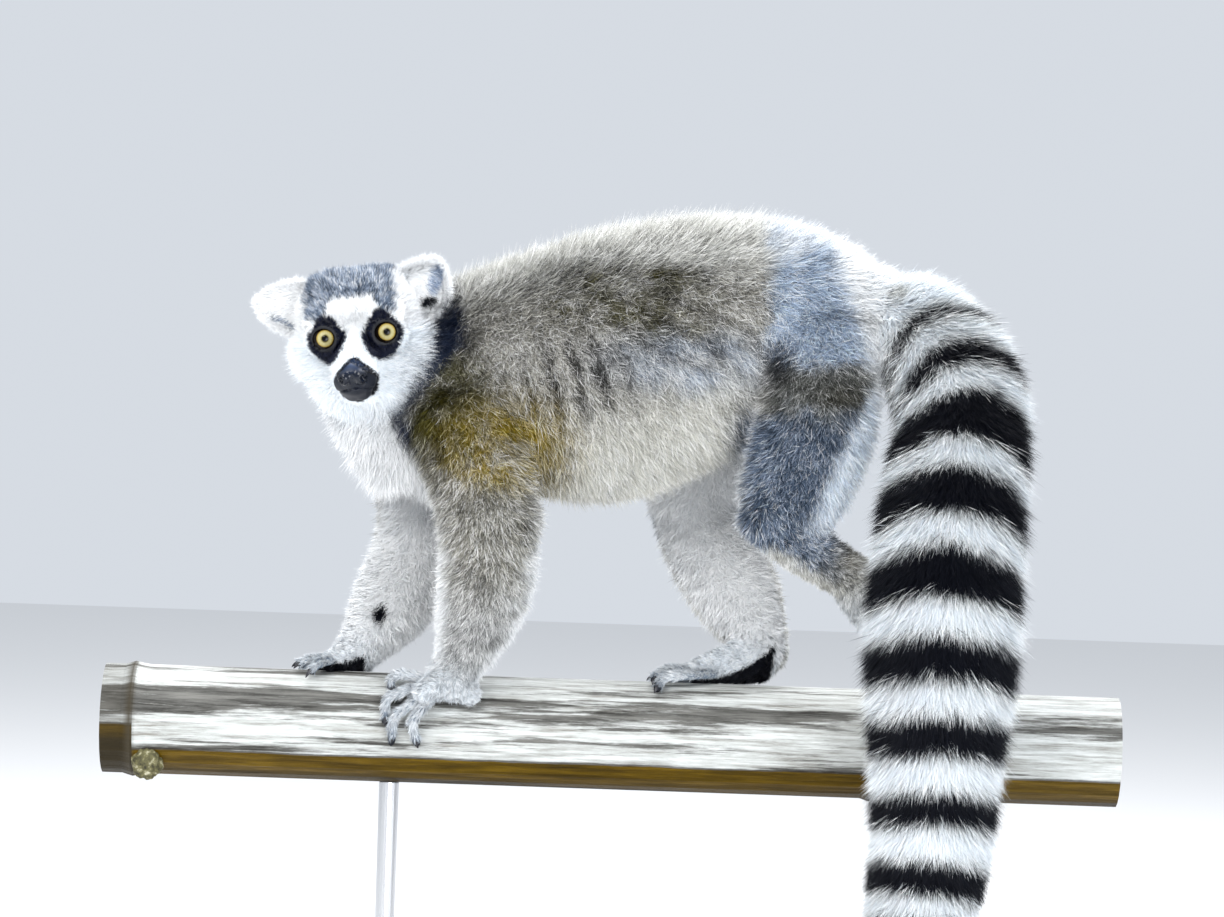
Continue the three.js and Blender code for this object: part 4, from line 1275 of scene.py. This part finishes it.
# ------------------------------------------------------------------ the skin, claws and eyes
body_points, body_faces = body_mesh()
body_normals = point_normals(body_points, body_faces)
body_lie = lie_of_coat(body_points)
body_shift = along_skin(body_lie.flow, body_normals)
body_colours = markings(body_points + body_shift * (body_lie.reach * 0.8)[:, None], body_lie)
bare_head = to_head(body_points)
is_face = body_lie.nearest == len(PARTS)
nose_pad = 1 - ramp(np.linalg.norm((bare_head - [0, 34, -25]) / [9.5, 7.5, 6.6], axis=1), 0.9, 1.05)
off_bridge = np.abs(bare_head[:, 0]) + 1.4 * (bare_head[:, 2] + 22)
smooth_muzzle = ramp(bare_head[:, 1], 12, 16) * (1 - ramp(off_bridge, 9, 11))
by_eye = np.hypot(np.abs(bare_head[:, 0]) - EYE_X, bare_head[:, 2])
lids = is_face & (by_eye < 7.8) & (bare_head[:, 1] > -12)
# Painted shade: the skin darkened under the coat, most under dark fur, so the gaps between tufts read as
# shadow.
shade = np.interp(body_colours.mean(1), [0.1, 0.5, 0.85], [0.35, 0.45, 0.75])
body_colours = body_colours * shade[:, None]
body_colours[lids] = LID
leather = mix(plain(LEATHER, len(body_points)), BRIDGE, ramp(bare_head[:, 2], -22, -15) * 0.8)
body_colours = mix(body_colours, leather, np.where(is_face, np.maximum(nose_pad, smooth_muzzle), 0))

ears = {side: ear(side) for side in EARS}
ear_meshes = [(bowl.points, bowl.faces) for bowl in ears.values()]
# Painted shade: the ears' skin darkened by a fifth under their hair.
ear_colours = [ear_colour(side, to_head(bowl.points), 1 - ramp(bowl.row, -0.1, 0)) * 0.8
               for side, bowl in ears.items()]
digits = [digit(joints) for rows in DIGITS.values() for joints in rows]
digit_t = np.repeat(np.linspace(0, 1, DIGIT_ROWS), DIGIT_ROUNDS)
digit_colours = mix(plain(FINGER, len(digit_t)), BLACK, ramp(digit_t, 0.8, 0.95))
skin_points, skin_faces = join([(body_points, body_faces)] + ear_meshes + digits)
skin_colours = np.vstack([body_colours] + ear_colours + [digit_colours] * len(digits))
bare = np.zeros(len(skin_points))
bare[:len(nose_pad)] = np.maximum(nose_pad, smooth_muzzle * 0.3) * is_face
skin = add_piece("skin", skin_points, skin_faces, colours=skin_colours, bare=bare)
skin.data.materials.append(skin_material)
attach(skin, "root")
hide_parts(*[n for n in frame["nodes"] if not n.startswith(("stand_", "eye_"))])

claw_meshes = []
for name, rows in DIGITS.items():
    for number, joints in enumerate(rows):
        grooming = name == "foot_left" and number == 1
        claw_meshes.append(claw(joints, GROOMING_CLAW_LENGTH if grooming else CLAW_LENGTH))
claws = add_piece("claws", *join(claw_meshes))
claws.data.materials.append(claw_material)
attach(claws, "root")

for name, side in (("eye_left", 1), ("eye_right", -1)):
    points, faces, iris = eyeball(side)
    eye = add_piece(name + "_ball", points, faces)
    places = eye.data.attributes.new("iris", "FLOAT_VECTOR", "POINT")
    places.data.foreach_set("vector", iris.astype(np.float32).ravel())
    eye.data.materials.append(eye_material)
    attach(eye, "root")
    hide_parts(name)


# ------------------------------------------------------------------ the coat of the body
BODY_TUFTS = 462000
TAIL_CUTS = (0, 150, 285, 410, 1000)  # arc lengths at which the tail's coat is cut into pieces
tail_index, head_index = PART_NAMES.index("tail"), len(PARTS)
density = body_lie.weights @ np.array(
    [1.0, 1.2] + [1.25] * len(LEGS) + [2.0] * len(PALMS) + [2.1] + [3.0])
off = is_face & ((by_eye < 7.6) & (bare_head[:, 1] > -12) | (nose_pad > 0.4) | (smooth_muzzle > 0.5))
density[off] = 0
roots, root_normals = scatter(body_points, body_faces, body_normals, BODY_TUFTS, density)
root_normals = unit(root_normals)
lie = lie_of_coat(roots)
is_tail, is_head = lie.nearest == tail_index, lie.nearest == head_index
tail_share = lie.weights[:, tail_index]
head_share = lie.weights[:, head_index]
width = 0.8 * (1 - head_share - tail_share).clip(0) + 0.55 * head_share + 1.0 * tail_share
ragged = 0.55 - 0.2 * head_share - 0.25 * tail_share
clump = 0.5 - 0.15 * head_share[:, None]
points = tufts(roots, root_normals, lie.flow, lie.lift, lie.length, width, ragged, clump, 5.0,
               calm=0.5 * tail_share)
shift = points[:, 2:].mean(1) - roots
lie.reach = np.einsum("ij,ij->i", shift, unit(lie.along)) * 0.6
colours = markings(roots + shift * 0.75, lie)
light = colours.mean(1)
# Painted shade at the roots of the tufts: deepest under grey fur, least under white fur and on the tail.
root_shade = np.interp(light, [0.05, 0.3, 0.6, 0.85], [0.3, 0.2, 0.4, 0.75])
root_shade = root_shade * (1 - tail_share) + 0.9 * tail_share
speckle = np.interp(light, [0.01, 0.08, 0.4, 0.6, 0.85], [0.25, 1.0, 0.95, 0.5, 0.13])
paint = tuft_colours(colours, roots, lie.flow, root_shade, speckle)

CHART_RADIUS = 30  # turns an angle round a part into millimetres on its chart
CHART_STEP = 190  # from one part's chart to the next, in a piece that covers several
every = np.arange(BODY_TUFTS)
own = np.minimum(lie.nearest, len(PARTS) - 1)
chart = np.column_stack([lie.arcs[every, own], lie.angles[every, own] * CHART_RADIUS])
h = to_head(roots)
round_head = np.arctan2(h[:, 0], h[:, 2] + 5)
chart[is_head] = np.column_stack([h[:, 1], round_head * CHART_RADIUS])[is_head]
arm_names = ("upper", "fore", "hand", "heel")
fore = np.isin(lie.nearest, [k for k, name in enumerate(PART_NAMES) if name.startswith(arm_names)])
left = np.isin(lie.nearest, [k for k, name in enumerate(PART_NAMES) if name.endswith("left")])
trunk = lie.nearest == 0
topside = np.cos(lie.angles[:, 0]) > 0.5
GROUPS = {
    "coat_back": trunk & topside,
    "coat_flank_left": trunk & ~topside & (roots[:, 1] < 0),
    "coat_flank_right": trunk & ~topside & (roots[:, 1] >= 0),
    "coat_neck": lie.nearest == 1,
    "coat_face": is_head & (h[:, 1] > -24),
    "coat_nape": is_head & (h[:, 1] <= -24),
    "coat_arm_left": fore & left,
    "coat_arm_right": fore & ~left,
}
down = lie.arcs[:, tail_index]
for number, (start, end) in enumerate(zip(TAIL_CUTS, TAIL_CUTS[1:]), 1):
    GROUPS[f"coat_tail_{number}"] = is_tail & (down >= start) & (down < end)
rest = ~np.any(list(GROUPS.values()), axis=0)
GROUPS["coat_leg_left"] = rest & left
GROUPS["coat_leg_right"] = rest & ~left
for name, mask in GROUPS.items():
    spread = chart[mask].copy()
    parts_here = np.unique(lie.nearest[mask])
    spread[:, 1] += np.searchsorted(parts_here, lie.nearest[mask]) * CHART_STEP
    add_coat(name, spread, points[mask], paint[mask])


# ------------------------------------------------------------------ the coat of ears and digits
EAR_TUFTS = 10000
DIGIT_TUFTS = 12000
DIGIT_HAIR = 4.6

ear_parts = []
for side, bowl in ears.items():
    place = to_head(bowl.points)
    front = 1 - ramp(bowl.row, -0.05, 0.05)
    bare_ear = front * (ear_colour(side, place, front).mean(1) < 0.2)
    keep = (1 + 0.5 * front) * (1 - bare_ear) * (np.abs(place[:, 0]) > 27) + 1e-6
    length = np.where(bowl.row < -0.1, 8.0, 8.5) - 3.0 * (side > 0) * front * (place[:, 0] > 45)
    normals = point_normals(bowl.points, bowl.faces)
    extras = np.column_stack([normals, bowl.ways, length, bowl.row, bowl.turn])
    root, data = scatter(bowl.points, bowl.faces, extras, EAR_TUFTS, keep)
    way = data[:, 3:6]
    length, row, turn = data[:, 6:].T
    made = tufts(root, unit(data[:, :3]), way, EAR_LIFT, length, 0.7, 0.3, 0.4, 4.0)
    tips = root + (made[:, 2:].mean(1) - root) * 0.9
    tint = ear_colour(side, to_head(tips), 1 - ramp(row, -0.05, 0.05))
    paint = tuft_colours(tint, root, way, 0.75, np.interp(tint.mean(1), [0.4, 0.85], [0.5, 0.13]))
    ear_parts.append((np.column_stack([row, turn + 8 * (side > 0)]), made, paint))
add_coat("coat_ears", *(np.vstack([part[k] for part in ear_parts]) for k in range(3)))

digit_points, digit_faces = join(digits)
digit_line = np.repeat(digit_points.reshape(-1, DIGIT_ROUNDS, 3).mean(1), DIGIT_ROUNDS, axis=0)
digit_line = digit_line.reshape(-1, DIGIT_ROWS, DIGIT_ROUNDS, 3)
digit_way = unit(np.gradient(digit_line, axis=1).reshape(-1, 3))
digit_normals = point_normals(digit_points, digit_faces)
outward = np.einsum("ij,ij->i", digit_normals, off_cane(digit_points))
along = np.tile(digit_t, len(digits))
hairy = ramp(outward, -0.35, 0.1) * (1 - ramp(along, 0.72, 0.9)) + 1e-7
number = np.repeat(np.arange(len(digits)), len(digit_t))
turn = np.tile(np.linspace(0, 1, DIGIT_ROUNDS, endpoint=False), len(digits) * DIGIT_ROWS)
extras = np.column_stack([digit_normals, digit_way, number, along, turn])
root, data = scatter(digit_points, digit_faces, extras, DIGIT_TUFTS, hairy)
way = data[:, 3:6]
number, along, turn = data[:, 6:].T
made = tufts(root, unit(data[:, :3]), way, DIGIT_LIFT, DIGIT_HAIR, 0.45, 0.2, 0.2, 2.5)
tint = mix(plain(HAND, DIGIT_TUFTS), FINGER, ramp(along, 0.5, 1.0) * 0.6)
paint = tuft_colours(tint, root, way, 0.5, 0.3)
add_coat("coat_digits", np.column_stack([number + turn, along]), made, paint)


# ------------------------------------------------------------------ the knot of sheath and the stand
KNOT_AT = [-293.5, -27, 261.5]
KNOT_RADII = [9, 7, 9]
KNOT_ROWS = 30
KNOT_ROUNDS = 40

turns = np.linspace(0, 2 * pi, KNOT_ROUNDS, endpoint=False)
turn, rise = (k.ravel() for k in np.meshgrid(turns, np.linspace(0.02, pi - 0.02, KNOT_ROWS)))
ball = np.column_stack([np.sin(rise) * np.cos(turn), np.sin(rise) * np.sin(turn), np.cos(rise)])
lumps = 1 + 0.16 * cloud(ball, 0.45, 31) + 0.12 * cloud(ball, 0.18, 32)
knot_points = ball * lumps[:, None] * KNOT_RADII + KNOT_AT
knot_piece = add_piece("cane_knot", knot_points, grid_faces(KNOT_ROWS, KNOT_ROUNDS)[:, ::-1])
knot_piece.data.materials.append(knot_material)
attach(knot_piece, "root")
for name, material in (("stand_perch", cane_material), ("stand_base", wood_material),
                       ("stand_rod_fore", steel_material), ("stand_rod_hind", steel_material)):
    for material_slot in bpy.data.objects[name].material_slots:
        material_slot.material = material
